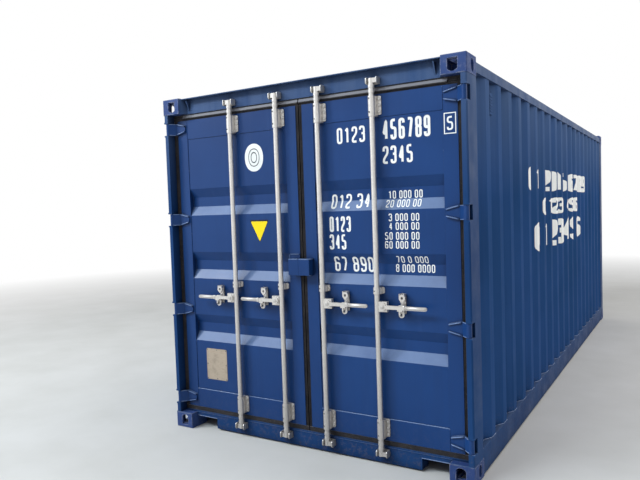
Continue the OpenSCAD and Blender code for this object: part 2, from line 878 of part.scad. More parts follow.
// Plate on the door panel with a shelf under the handle and two ears for the catch
module handle_retainer() {
    face = door_y + panel_set_back;
    out = rod_y - hub_out - handle_t;
    shelf_top = handle_z - handle_h / 2 - seal_gap;
    translate([-retainer_w / 2, face - retainer_t, retainer_low])
        cube([retainer_w, retainer_t, catch_pivot_z + ear_r - retainer_low]);
    translate([-retainer_w / 2, out, shelf_top - 10]) cube([retainer_w, face - retainer_t - out + eps, 10]);
    translate([-4, out, retainer_low]) difference() {
        cube([8, face - retainer_t - out + eps, shelf_top - 10 - retainer_low + eps]);
        translate([-1, 16, 14]) rotate([0, 90, 0]) cylinder(r = 8, h = 10, $fn = small_fn);
    }
    for (s = [-1, 1]) difference() {
        translate([s * (catch_w / 2 + ear_t / 2 + 0.3) - ear_t / 2, catch_pivot_y - ear_r, catch_pivot_z - ear_r])
            cube([ear_t, face - retainer_t - catch_pivot_y + ear_r + eps, 2 * ear_r]);
        translate([0, catch_pivot_y, catch_pivot_z]) rotate([0, 90, 0])
            cylinder(r = catch_pin_r + run_fit, h = 60, center = true, $fn = small_fn);
    }
}

module right_handle_retainers() {
    color(galvanised) for (x = rod_xs) translate([x + retainer_u, 0, 0]) handle_retainer();
}

module left_handle_retainers() {
    color(galvanised) left() for (x = rod_xs) translate([x + retainer_u, 0, 0]) handle_retainer();
}

catch_len = 48;
catch_t = 8;

// Swinging plate with an eye, on its own pin between the retainer's ears
module handle_catch() {
    pin_half = catch_w / 2 + ear_t + 0.3;
    translate([0, catch_pivot_y, catch_pivot_z]) {
        rotate([0, 90, 0]) cylinder(r = catch_pin_r, h = 2 * pin_half, center = true, $fn = small_fn);
        rotate([90, 0, 0]) linear_extrude(catch_t, center = true) difference() {
            union() {
                translate([-catch_w / 2, -catch_len + catch_w / 2])
                    square([catch_w, catch_len - catch_w / 2 + 5]);
                translate([0, -catch_len + catch_w / 2]) circle(r = catch_w / 2, $fn = small_fn);
            }
            translate([0, -catch_len + catch_w / 2]) circle(r = 7, $fn = small_fn);
        }
    }
}

// A right hand piece on the rod at distance x from the middle
module right_at(x) {
    translate([x, 0, 0]) children();
}

module left_at(x) {
    left() translate([x, 0, 0]) children();
}

module left_outer_catch() {
    color(galvanised) left_at(rod_outer_x + retainer_u) handle_catch();
}

module left_inner_catch() {
    color(galvanised) left_at(rod_inner_x + retainer_u) handle_catch();
}

module right_inner_catch() {
    color(galvanised) right_at(rod_inner_x + retainer_u) handle_catch();
}

module right_outer_catch() {
    color(galvanised) right_at(rod_outer_x + retainer_u) handle_catch();
}

// Claw plate, drawn round the rod with the handle side at +X
module cam() {
    linear_extrude(cam_t, center = true) {
        circle(r = rod_r, $fn = round_fn);
        polygon([[0, -rod_r + 2], [cam_reach, -7], [cam_reach, 7], [0, 12]]);
    }
}

rod_bore_r = 14;
rod_cap = 6;

// Pipe with a cam at each end and the handle hub welded on, u along +X
module lock_rod() {
    z0 = cam_low_z - cam_t / 2;
    z1 = cam_top_z + cam_t / 2;
    translate([0, rod_y, 0]) {
        difference() {
            translate([0, 0, z0]) cylinder(r = rod_r, h = z1 - z0, $fn = round_fn);
            translate([0, 0, z0 - 1]) cylinder(r = rod_bore_r, h = z1 - z0 + 1 - rod_cap, $fn = round_fn);
        }
        for (z = [cam_low_z, cam_top_z]) translate([0, 0, z]) cam_ring();
        translate([0, 0, keeper_low_end]) rod_sleeve();
        translate([0, 0, keeper_high_end - sleeve_h]) rod_sleeve();
        translate([0, 0, handle_z]) {
            translate([rod_r - 2, -hub_out + seal_gap, -33]) cube([60, 2 * hub_out - seal_gap, 66]);
            translate([hub_u, -hub_out + 1, 0]) rotate([90, 0, 0])
                cylinder(r = rivet_r, h = handle_t + 1.5, $fn = round_fn);
            translate([hub_u, -hub_out - handle_t - seal_gap, 0]) rotate([90, 0, 0])
                cylinder(r = rivet_r + 5, h = 4, $fn = round_fn);
        }
    }
}

// Thicker end of the rod with a groove between two rings
module rod_sleeve() {
    difference() {
        cylinder(r = sleeve_r, h = sleeve_h, $fn = round_fn);
        translate([0, 0, -1]) cylinder(r = rod_bore_r + 1, h = sleeve_h + 2, $fn = round_fn);
        translate([0, 0, sleeve_h * 0.35]) difference() {
            cylinder(r = sleeve_r + 1, h = sleeve_h * 0.3, $fn = round_fn);
            translate([0, 0, -1]) cylinder(r = rod_r + 0.5, h = sleeve_h, $fn = round_fn);
        }
    }
}

module cam_ring() {
    difference() {
        cam();
        cylinder(r = rod_bore_r + 1, h = cam_t + 2, center = true, $fn = round_fn);
    }
}

module left_outer_rod() {
    color(galvanised) left_at(rod_outer_x) lock_rod();
}

module left_inner_rod() {
    color(galvanised) left_at(rod_inner_x) lock_rod();
}

module right_inner_rod() {
    color(galvanised) right_at(rod_inner_x) lock_rod();
}

module right_outer_rod() {
    color(galvanised) right_at(rod_outer_x) lock_rod();
}

// Flat bar from the hub's rivet to the rounded grip
module lock_handle() {
    translate([0, rod_y - hub_out, handle_z]) rotate([90, 0, 0]) linear_extrude(handle_t) difference() {
        union() {
            translate([hub_u, 0]) circle(r = 26, $fn = round_fn);
            translate([hub_u, -handle_h / 2]) square([handle_len - hub_u - handle_h / 2, handle_h]);
            translate([handle_len - handle_h / 2, 0]) circle(r = handle_h / 2, $fn = round_fn);
        }
        translate([hub_u, 0]) circle(r = rivet_r + run_fit, $fn = round_fn);
    }
}

module left_outer_handle() {
    color(galvanised) left_at(rod_outer_x) lock_handle();
}

module left_inner_handle() {
    color(galvanised) left_at(rod_inner_x) lock_handle();
}

module right_inner_handle() {
    color(galvanised) right_at(rod_inner_x) lock_handle();
}

module right_outer_handle() {
    color(galvanised) right_at(rod_outer_x) lock_handle();
}

box_half = 85;
box_low = door_mid - 48;
box_high = door_mid + 65;
box_t = 4;
box_split = 3;
box_front = 7;
hasp_over = 30;

// Half of the padlock shroud: front, top and side plates, open below and towards the middle
module lock_box() {
    y0 = -half_l + box_front;
    translate([box_split, y0, box_low]) difference() {
        cube([box_half - box_split, door_y - y0, box_high - box_low]);
        translate([-1, box_t, -1])
            cube([box_half - box_split - box_t + 1, door_y - y0, box_high - box_low - box_t + 1]);
    }
}

module right_lock_box() {
    color(door_blue) lock_box();
}

// Plate behind the left half, as wide as the stile
module hasp_plate() {
    translate([door_in_x, door_y - box_t, box_low - hasp_over])
        cube([stile_mid_w, box_t, box_high - box_low + 2 * hasp_over]);
}

module left_lock_box() {
    color(door_blue) left() {
        lock_box();
        hasp_plate();
    }
}

lower_corner_castings();
upper_corner_castings();
right_door_post();
left_door_post();
right_front_post();
left_front_post();
door_header();
door_sill();
front_top_rail();
front_bottom_rail();
right_top_rail();
left_top_rail();
right_bottom_rail();
left_bottom_rail();
right_wall();
left_wall();
front_wall();
roof();
plywood_floor();
floor_cross_members();
hinge_lugs();
hinge_pins();
cam_keepers();
vents();
right_door_frame();
left_door_frame();
right_door_panel();
left_door_panel();
right_door_gasket();
left_door_gasket();
right_hinge_blades();
left_hinge_blades();
right_rod_guides();
left_rod_guides();
right_handle_retainers();
left_handle_retainers();
right_lock_box();
left_lock_box();
left_outer_rod();
left_inner_rod();
right_inner_rod();
right_outer_rod();
left_outer_handle();
left_inner_handle();
right_inner_handle();
right_outer_handle();
left_outer_catch();
left_inner_catch();
right_inner_catch();
right_outer_catch();
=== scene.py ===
import math
import random
import bpy
import bmesh
from mathutils import Euler, Matrix, Vector


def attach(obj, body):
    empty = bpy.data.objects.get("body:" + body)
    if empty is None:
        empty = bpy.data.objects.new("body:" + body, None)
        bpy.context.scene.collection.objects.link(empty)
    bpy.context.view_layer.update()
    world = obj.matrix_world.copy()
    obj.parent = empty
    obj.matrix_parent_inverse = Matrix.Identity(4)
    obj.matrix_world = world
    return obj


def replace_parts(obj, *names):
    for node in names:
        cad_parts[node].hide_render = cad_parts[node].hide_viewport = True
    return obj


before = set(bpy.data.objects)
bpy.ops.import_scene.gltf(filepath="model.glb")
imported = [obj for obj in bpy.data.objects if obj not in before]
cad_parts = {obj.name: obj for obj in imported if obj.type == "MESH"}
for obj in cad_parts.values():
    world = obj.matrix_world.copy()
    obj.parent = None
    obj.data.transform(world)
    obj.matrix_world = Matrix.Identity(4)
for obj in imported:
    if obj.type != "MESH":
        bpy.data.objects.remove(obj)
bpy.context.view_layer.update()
rng = random.Random(7)

# Main sizes, metres, in the frame of the solids: X to the right, Y to the closed end, Z up
HALF_L = 3.029            # ends of the castings
HALF_W = 1.219            # their sides
HEIGHT = 2.591
CAST_W, CAST_L, CAST_H = 0.162, 0.178, 0.118
STEEL_X = 1.216           # outer face of posts and side rails
STEEL_Y = 3.026           # outer face of posts and end rails
WALL_X = 1.210            # outer flats of the side sheets
DOOR_Y = -2.959           # outer face of the door frames
PANEL_Y = -2.955          # outer flats of the door sheets
SILL_Y = -2.963           # outer face of header and sill
PANEL_X = (0.116, 1.040)  # inner and outer edge of a door sheet
PANEL_Z = (0.310, 2.280)  # its foot and head
LEAF_X = 1.136            # outer edge of a door leaf
LEAF_Z = (0.170, 2.420)   # its foot and head
SEAL_X = 1.1777           # outer edge of its seal
HINGE_Z = [0.240 + i * 0.707 for i in range(4)]
SIDES = {"right": 1, "left": -1}

# Recesses of doors and walls: half width of bed and mouth, depth, and their middles
DOOR_BED, DOOR_MOUTH = 0.036, 0.104
WALL_BED, WALL_MOUTH = 0.035, 0.103
FOLD_DEPTH = 0.036
DOOR_FOLD_Z = (0.8025, 1.295, 1.7875)
WALL_PITCH = 0.288
WALL_FOLD_Y = [(i - 9.5) * WALL_PITCH for i in range(20)]

# Lock gear: the rods, the middles of their guides, and the retainers beside them
ROD_Y = -2.997
ROD_X = {"left_outer": -0.583, "left_inner": -0.171, "right_inner": 0.171, "right_outer": 0.583}
HANDLE_Z = 1.060
GUIDE_Z = (2.3525, 0.2525)
MID_GUIDE_Z = 1.161
RETAINER_U = 0.168        # from the rod to its retainer


# Colours and small node helpers

def srgb(text):
    """Linear colour of an sRGB hex colour."""
    rgb = [int(text[i:i + 2], 16) / 255 for i in (1, 3, 5)]
    return [c / 12.92 if c <= 0.04045 else ((c + 0.055) / 1.055) ** 2.4 for c in rgb] + [1.0]


def add(tree, kind, ins=None, **props):
    """Adds a node, sets its properties and fills or links its inputs."""
    n = tree.nodes.new(kind)
    for key, value in props.items():
        setattr(n, key, value)
    for key, value in (ins or {}).items():
        if isinstance(value, bpy.types.NodeSocket):
            tree.links.new(value, n.inputs[key])
        else:
            n.inputs[key].default_value = value
    return n


def new_material(name, roughness=0.5, metallic=0.0, specular=0.5):
    """A material, its node tree and its shader, with the constants set."""
    m = bpy.data.materials.new(name)
    m.use_nodes = True
    shader = m.node_tree.nodes["Principled BSDF"]
    shader.inputs["Roughness"].default_value = roughness
    shader.inputs["Metallic"].default_value = metallic
    shader.inputs["Specular IOR Level"].default_value = specular
    return m, m.node_tree, shader


def coords(tree, scale=(1, 1, 1)):
    """Object coordinates in metres, stretched by scale."""
    tc = add(tree, "ShaderNodeTexCoord")
    return add(tree, "ShaderNodeMapping", {"Vector": tc.outputs["Object"], "Scale": scale}).outputs["Vector"]


def part_of(tree, vector, axis):
    """One component of a vector, X, Y or Z."""
    return add(tree, "ShaderNodeSeparateXYZ", {"Vector": vector}).outputs[axis]


def facing_up(tree):
    """1 on faces turned to the sky, 0 on upright ones."""
    return part_of(tree, add(tree, "ShaderNodeNewGeometry").outputs["Normal"], "Z")


def noise(tree, vector, scale, detail=4.0, rough=0.55):
    """Cloudy noise; 1 / scale is its largest feature in metres."""
    return add(tree, "ShaderNodeTexNoise",
               {"Vector": vector, "Scale": scale, "Detail": detail, "Roughness": rough}).outputs["Fac"]


def span(tree, value, lo, hi, to_lo=0.0, to_hi=1.0):
    """Maps a value from lo..hi to to_lo..to_hi, clamped."""
    return add(tree, "ShaderNodeMapRange", {"Value": value, "From Min": lo, "From Max": hi,
                                            "To Min": to_lo, "To Max": to_hi}).outputs["Result"]


def maths(tree, operation, a, b=0.0, clamp=False):
    return add(tree, "ShaderNodeMath", {0: a, 1: b}, operation=operation, use_clamp=clamp).outputs[0]


def blend_colour(tree, factor, a, b):
    """Colour a where factor is 0, b where it is 1."""
    return add(tree, "ShaderNodeMix", {0: factor, 6: a, 7: b}, data_type="RGBA").outputs[2]


def bump(tree, height, distance, strength=1.0, normal=None):
    """Normal bent by a height, on top of another normal where one is given."""
    ins = {"Height": height, "Distance": distance, "Strength": strength}
    if normal is not None:
        ins["Normal"] = normal
    return add(tree, "ShaderNodeBump", ins).outputs["Normal"]


def wire(tree, shader, colour, roughness, normal):
    """Links what varies over a material to its shader."""
    for key, value in (("Base Color", colour), ("Roughness", roughness), ("Normal", normal)):
        tree.links.new(value, shader.inputs[key])


# Materials

def painted_shade_in_corners(tree, colour, reach, dark, amount):
    """Painted shade: colour darkened in folds and behind fittings closer than reach, found by ambient
    occlusion.
    """
    open_air = add(tree, "ShaderNodeAmbientOcclusion", {"Distance": reach}, samples=6).outputs["AO"]
    return blend_colour(tree, span(tree, open_air, 0.35, 0.80, amount, 0.0), colour, srgb(dark))


def paint(name, base, faded, mud=0.5, rust=0.25, rough=(0.34, 0.55), dents=0.004, streaks=0.35,
          specular=0.3, top_fading_and_sheen=0.0, dust=(1.0, 0.42)):
    """Air-dried container enamel: rolled orange peel, faded, streaked, chalky and lighter towards the roof as a
    painted sky reflection, muddy below, chipped to rust and darkened in folds as painted shade, by the amounts
    given. Dust, with a painted sky reflection on it, lies fullest on slopes from dust[0] up, dust[1] thick."""
    m, t, shader = new_material(name, specular=specular)
    p = coords(t)
    runs = coords(t, (7.0, 7.0, 0.35))
    colour = blend_colour(t, span(t, noise(t, p, 0.9, 5), 0.35, 0.68), srgb(base), srgb(faded))
    # Rain streaks 20 to 60 mm wide
    dirty = span(t, noise(t, runs, 2.6, 6, 0.6), 0.52, 0.78, 0.0, streaks)
    colour = blend_colour(t, dirty, colour, srgb("#1b2b4c"))
    pale = span(t, noise(t, runs, 4.1, 5, 0.6), 0.60, 0.85, 0.0, streaks * 0.8)
    colour = blend_colour(t, pale, colour, srgb("#4a6698"))
    # Dust that lies on faces turned to the sky, in a light blue that also paints the sky's reflection on them
    dust_and_sky_sheen = maths(t, "MULTIPLY", span(t, facing_up(t), 0.1, dust[0], 0.0, dust[1]),
                    span(t, noise(t, p, 3.0, 6), 0.3, 0.7, 0.5, 1.0))
    colour = blend_colour(t, dust_and_sky_sheen, colour, srgb("#8ea6cc"))
    # Paint gone chalky in runs, and lighter towards the roof as a painted sky reflection
    z = part_of(t, p, "Z")
    top_fading_and_sky_sheen = maths(t, "MULTIPLY", span(t, z, 1.75, 2.55, 0.0, top_fading_and_sheen),
                   span(t, noise(t, runs, 1.6, 5), 0.3, 0.6, 0.5, 1.0))
    colour = blend_colour(t, top_fading_and_sky_sheen, colour, srgb("#6b7c98"))
    # Mud splashed to about 0.3 m above the ground
    splash = maths(t, "MULTIPLY", span(t, z, 0.32, 0.01), span(t, noise(t, p, 38.0, 8, 0.75), 0.50, 0.66))
    colour = blend_colour(t, maths(t, "MULTIPLY", splash, mud), colour, srgb("#7c6a55"))
    # Chips 3 to 8 mm across, worn through to rust, thicker where the large noise is high
    worn = span(t, noise(t, p, 2.2, 3), 0.48, 0.62)
    spots = span(t, noise(t, p, 95.0, 3, 0.6), 0.69, 0.73)
    chip = maths(t, "MULTIPLY", maths(t, "MULTIPLY", worn, spots), rust, clamp=True)
    colour = blend_colour(t, chip, colour, srgb("#6a4630"))
    # Painted shade in folds, corners and behind fittings
    colour = painted_shade_in_corners(t, colour, 0.10, "#0c1730", 0.75)
    r = span(t, noise(t, p, 6.0, 5), 0.3, 0.7, rough[0], rough[1])
    r = maths(t, "ADD", r, maths(t, "MULTIPLY", maths(t, "ADD", splash, chip), 0.3), clamp=True)
    sheet = bump(t, noise(t, p, 2.4, 2, 0.4), dents, 0.6)
    peel = bump(t, noise(t, p, 320.0, 2), 0.0004, 0.25, sheet)
    wire(t, shader, colour, r, peel)
    return m


def casting_paint():
    """Cast steel under enamel: sand grain about 4 mm across, edges knocked bare by hooks and twistlocks and
    lightened further as a painted highlight.
    """
    m, t, shader = new_material("cast_steel_enamel", specular=0.2)
    p = coords(t)
    colour = blend_colour(t, span(t, noise(t, p, 5.0, 5), 0.35, 0.7), srgb("#2a4074"), srgb("#354c80"))
    scuff = span(t, noise(t, p, 16.0, 7, 0.7), 0.58, 0.66)
    # Edges lighter: bare wear, and a painted highlight along them
    rims = add(t, "ShaderNodeBevel", {"Radius": 0.008}, samples=4).outputs["Normal"]
    flat = add(t, "ShaderNodeNewGeometry").outputs["Normal"]
    turned = add(t, "ShaderNodeVectorMath", {0: rims, 1: flat}, operation="DOT_PRODUCT").outputs["Value"]
    edge = maths(t, "MULTIPLY", span(t, turned, 0.995, 0.93, 0.0, 0.7),
                 span(t, noise(t, p, 30.0, 5), 0.40, 0.56))
    bare_and_highlight = maths(t, "MAXIMUM", maths(t, "MULTIPLY", scuff, 0.12), edge, clamp=True)
    colour = blend_colour(t, bare_and_highlight, colour, srgb("#a9aab2"))
    rusty = maths(t, "MULTIPLY", span(t, noise(t, p, 40.0, 6, 0.7), 0.58, 0.7), 0.3)
    colour = blend_colour(t, rusty, colour, srgb("#6b4a36"))
    wire(t, shader, colour, span(t, noise(t, p, 25.0, 4), 0.3, 0.7, 0.4, 0.7),
         bump(t, noise(t, p, 260.0, 4, 0.7), 0.0012, 0.7))
    return m


def zinc(name, base="#dedad5", dark="#c2beba", stain=0.15):
    """Hot-dip galvanised steel: spangle about 11 mm across, white bloom, grime in streaks, darker towards the
    foot.
    """
    m, t, shader = new_material(name, metallic=0.55, specular=0.5)
    p = coords(t)
    cells = add(t, "ShaderNodeTexVoronoi", {"Vector": p, "Scale": 90.0, "Randomness": 1.0})
    grain = add(t, "ShaderNodeSeparateColor", {"Color": cells.outputs["Color"]}).outputs["Red"]
    colour = blend_colour(t, span(t, grain, 0.0, 1.0, 0.0, 0.40), srgb(base), srgb(dark))
    bloom = span(t, noise(t, coords(t, (8, 8, 1.2)), 5.0, 6, 0.65), 0.5, 0.75, 0.0, 0.6)
    colour = blend_colour(t, bloom, colour, srgb("#e6e3df"))
    grime = span(t, noise(t, coords(t, (5, 5, 1.0)), 7.0, 7, 0.7), 0.58, 0.72, 0.0, stain)
    colour = blend_colour(t, grime, colour, srgb("#6a675f"))
    # Darker and greyer towards the foot
    colour = blend_colour(t, span(t, part_of(t, p, "Z"), 0.3, 1.6, 0.45, 0.0), colour, srgb("#a19b97"))
    rough = maths(t, "ADD", span(t, grain, 0.0, 1.0, 0.31, 0.38), maths(t, "MULTIPLY", grime, 0.4),
                  clamp=True)
    wire(t, shader, colour, rough, bump(t, noise(t, p, 130.0, 5), 0.0002, 0.4))
    return m


def rubber():
    """EPDM door seal: near black, dust in patches, and grey where a lip faces up, from dust and a painted
    highlight.
    """
    m, t, shader = new_material("epdm_rubber", specular=0.35)
    p = coords(t)
    colour = blend_colour(t, span(t, noise(t, p, 9.0, 6, 0.6), 0.38, 0.72), srgb("#17161a"), srgb("#302c2e"))
    dust = span(t, noise(t, p, 60.0, 6, 0.7), 0.55, 0.75, 0.0, 0.25)
    colour = blend_colour(t, dust, colour, srgb("#8a8071"))
    # Lip tops grey: dust, and a painted highlight where they face up
    colour = blend_colour(t, span(t, facing_up(t), 0.15, 0.5, 0.0, 0.85), colour, srgb("#86868c"))
    wire(t, shader, colour, span(t, noise(t, p, 30.0, 4), 0.3, 0.7, 0.55, 0.8),
         bump(t, noise(t, p, 220.0, 3), 0.0006, 0.5))
    return m


def plywood():
    """28 mm hardwood plywood: grain along the container, sheets 1.2 m long, dark with boot and fork wear."""
    m, t, shader = new_material("hardwood_plywood", specular=0.3)
    p = coords(t)
    grain = noise(t, coords(t, (42.0, 1.5, 42.0)), 2.4, 8, 0.65)
    number = maths(t, "FLOOR", maths(t, "DIVIDE", part_of(t, p, "Y"), 1.19))
    sheet = add(t, "ShaderNodeTexWhiteNoise", {"W": number}, noise_dimensions="1D").outputs["Value"]
    colour = blend_colour(t, span(t, grain, 0.3, 0.72), srgb("#6d4526"), srgb("#a8764a"))
    colour = blend_colour(t, maths(t, "MULTIPLY", sheet, 0.35), colour, srgb("#7f5a3c"))
    wear = span(t, noise(t, coords(t, (2.0, 0.5, 1.0)), 2.2, 6, 0.6), 0.48, 0.75, 0.0, 0.55)
    colour = blend_colour(t, wear, colour, srgb("#4c3d30"))
    wire(t, shader, colour, span(t, grain, 0.3, 0.7, 0.5, 0.75), bump(t, grain, 0.0010, 0.5))
    return m


def vinyl(name, colour_hex, soil="#8d8a80", amount=0.35):
    """Stencil paint, screen ink or cut vinyl, soiled in patches by amount."""
    m, t, shader = new_material(name, specular=0.35)
    p = coords(t)
    soiled = span(t, noise(t, p, 7.0, 7, 0.65), 0.5, 0.8, 0.0, amount)
    colour = blend_colour(t, soiled, srgb(colour_hex), srgb(soil))
    wire(t, shader, colour, span(t, noise(t, p, 20.0, 3), 0.3, 0.7, 0.4, 0.6),
         bump(t, noise(t, p, 400.0, 2), 0.0002, 0.3))
    return m


def plate_metal():
    """Rolled aluminium data plate, brushed along X and dulled."""
    m, t, shader = new_material("rolled_aluminium", metallic=0.75, specular=0.5)
    brushed = noise(t, coords(t, (20.0, 20.0, 900.0)), 1.0, 4, 0.6)
    colour = blend_colour(t, span(t, brushed, 0.3, 0.7), srgb("#a89a8a"), srgb("#c8baa9"))
    stains = span(t, noise(t, coords(t), 18.0, 6, 0.65), 0.5, 0.75, 0.0, 0.45)
    colour = blend_colour(t, stains, colour, srgb("#7d7468"))
    wire(t, shader, colour, span(t, brushed, 0.3, 0.7, 0.35, 0.5), bump(t, brushed, 0.0002, 0.4))
    return m


WALL_PAINT = paint("wall_enamel_blue", "#264876", "#2e5084", mud=0.3, rust=0.3, rough=(0.65, 0.8),
                   dents=0.006, streaks=0.25, specular=0.02, top_fading_and_sheen=0.45)
FRAME_PAINT = paint("frame_enamel_blue", "#1b3a68", "#214474", mud=0.3, rust=0.45, dents=0.001,
                    streaks=0.3, specular=0.05, top_fading_and_sheen=0.4)
ROOF_PAINT = paint("roof_enamel_blue", "#2a4578", "#3d5788", mud=0.0, rust=0.8, rough=(0.5, 0.7), dents=0.006)
# The door's dust on its up-facing slopes is mostly a painted sky reflection
DOOR_PAINT = paint("door_enamel_blue", "#0f3468", "#163f78", mud=0.2, rust=0.15, rough=(0.32, 0.42),
                   dents=0.003, streaks=0.15, specular=0.22, dust=(0.45, 0.5))
# A lighter copy of the enamel: a painted highlight for rounded edges and beads that catch the light
HIGHLIGHT_EDGE_PAINT = paint("enamel_edge_painted_highlight", "#44608f", "#6f87b2", mud=0.2, rust=0.5, rough=(0.2, 0.35),
                  dents=0.001, streaks=0.2, specular=0.5)
CAST_PAINT = casting_paint()
ZINC = zinc("hot_dip_zinc")
ZINC_DARK = zinc("weathered_zinc", "#cfccc8", "#a5a29f", 0.35)
RIVET_STEEL = zinc("dark_rivet_steel", "#2e2c31", "#201f23", 0.3)
RUBBER = rubber()
PLYWOOD = plywood()
WHITE = vinyl("white_stencil_paint", "#f4f4f1", amount=0.25)
WHITE_FILM = vinyl("white_vinyl_film", "#eceeec", amount=0.2)
YELLOW = vinyl("yellow_vinyl_film", "#ffdc00", "#b09a20", 0.15)
GREY_INK = vinyl("grey_screen_ink", "#3c4248", "#6b6f70", 0.3)
BLACK_INK = vinyl("black_screen_ink", "#16181c", "#3c3e40", 0.2)
ALUMINIUM = plate_metal()

# The first of these words in a node's name gives its material; the others have the frame's paint
NODE_MATERIALS = {
    "floor_cross_members": FRAME_PAINT, "floor": PLYWOOD, "wall": WALL_PAINT, "vents": WALL_PAINT,
    "roof": ROOF_PAINT, "castings": CAST_PAINT, "door_frame": DOOR_PAINT, "door_panel": DOOR_PAINT,
    "hinge_blades": DOOR_PAINT, "lock_box": DOOR_PAINT, "gasket": RUBBER, "rod": ZINC, "handle": ZINC,
    "catch": ZINC, "keepers": ZINC_DARK, "pins": ZINC_DARK}

for node_name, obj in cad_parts.items():
    words = [word for word in NODE_MATERIALS if word in node_name]
    obj.data.materials.clear()
    obj.data.materials.append(NODE_MATERIALS[words[0]] if words else FRAME_PAINT)


# Mesh helpers

def new_object(name, data):
    """An object at the origin of the scene."""
    o = bpy.data.objects.new(name, data)
    bpy.context.scene.collection.objects.link(o)
    return o


def piece(name, mesh, material, body, smooth=False):
    """Puts a mesh in the scene as a piece of that body; a copied solid keeps its own material."""
    mesh.name = name
    o = new_object(name, mesh)
    if not mesh.materials:
        mesh.materials.append(material)
    if smooth:
        mesh.shade_smooth()
    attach(o, body)
    return o


def to_mesh(bm):
    """The mesh of bm as it is; bm is freed."""
    mesh = bpy.data.meshes.new("mesh")
    bm.to_mesh(mesh)
    bm.free()
    return mesh


def solid(bm):
    """The mesh of bm with its normals outwards."""
    bmesh.ops.recalc_face_normals(bm, faces=bm.faces)
    return to_mesh(bm)


def turn(n, start=0.0):
    """n angles round a full turn."""
    return [2 * math.pi * (i + start) / n for i in range(n)]


def bridge(bm, a, b):
    """Faces between two rings with as many points."""
    for i in range(len(a)):
        j = (i + 1) % len(a)
        bm.faces.new((a[i], a[j], b[j], b[i]))


def add_box(bm, corner, opposite, bevel=0.0):
    """A box between two opposite corners, its edges rounded by bevel."""
    size = [abs(b - a) for a, b in zip(corner, opposite)]
    mid = [(a + b) / 2 for a, b in zip(corner, opposite)]
    got = bmesh.ops.create_cube(bm, size=1.0, matrix=Matrix.Translation(mid) @ Matrix.Diagonal((*size, 1)))
    if bevel:
        edges = list({e for v in got["verts"] for e in v.link_edges})
        bmesh.ops.bevel(bm, geom=edges, offset=bevel, segments=2, profile=0.5, affect="EDGES")


def add_prism(bm, outline, x0, x1):
    """A bar along X with the given (y, z) outline."""
    ends = [[bm.verts.new((x, y, z)) for y, z in outline] for x in (x0, x1)]
    bridge(bm, *ends)
    bm.faces.new(ends[0])
    bm.faces.new(ends[1][::-1])


def add_tube(bm, rings):
    """Faces along a row of rings, closed at both ends."""
    for a, b in zip(rings, rings[1:]):
        bridge(bm, a, b)
    bm.faces.new(rings[0][::-1])
    bm.faces.new(rings[-1])


def spun(profile, segments):
    """A solid turned round Z from (radius, height) pairs."""
    bm = bmesh.new()
    add_tube(bm, [[bm.verts.new((r * math.cos(a), r * math.sin(a), z)) for a in turn(segments)]
                  for r, z in profile])
    return solid(bm)


def oval_line(rx, rz, n=24):
    return [(rx * math.cos(a), rz * math.sin(a)) for a in turn(n)]


def tongue_line(half, top):
    """Outline of a tongue of that half width, with a round foot and a straight top."""
    line = []
    for x, z in oval_line(half, half):
        if z > 0:
            z = top if abs(x) < 0.8 * half else z
            x = math.copysign(half, x) if abs(x) > 0.3 * half else x
        line.append((x, z))
    return line


def plate_with_hole(outline, hole, y0, y1, centre):
    """Flat plate in X and Z between y0 and y1: both outlines have as many points, told from the centre."""
    bm = bmesh.new()
    edge0, hole0, edge1, hole1 = (
        [bm.verts.new((centre[0] + x, y, centre[1] + z)) for x, z in line] for y in (y0, y1)
        for line in (outline, hole))
    for a, b in ((edge0, hole0), (edge1, hole1), (edge0, edge1), (hole0, hole1)):
        bridge(bm, a, b)
    return solid(bm)


def hex_bolt(across, head, washer):
    """Hexagon head with a chamfered crown on a round washer, standing on z = 0."""
    washer_h = 0.0028
    corner = across / 1.732
    flat = spun([(washer, 0), (washer, 0.0022), (washer - 0.0008, washer_h)], 20)
    crown = spun([(corner, washer_h), (corner, head * 0.8), (across / 2.3, head)], 6)
    bm = bmesh.new()
    for mesh in (flat, crown):
        bm.from_mesh(mesh)
        bpy.data.meshes.remove(mesh)
    return solid(bm)


def dome(r, h):
    """Round rivet head with a small flat on top."""
    steps = 4
    arc = [math.pi / 2 * i / steps for i in range(steps)]
    return spun([(r * math.cos(a), h * math.sin(a)) for a in arc] + [(r * 0.08, h)], 16)


# Turns that point a bolt or rivet, made standing on z = 0, the other ways
AIM = {"-y": Euler((math.pi / 2, 0, 0)), "+z": Euler((0, 0, 0))}


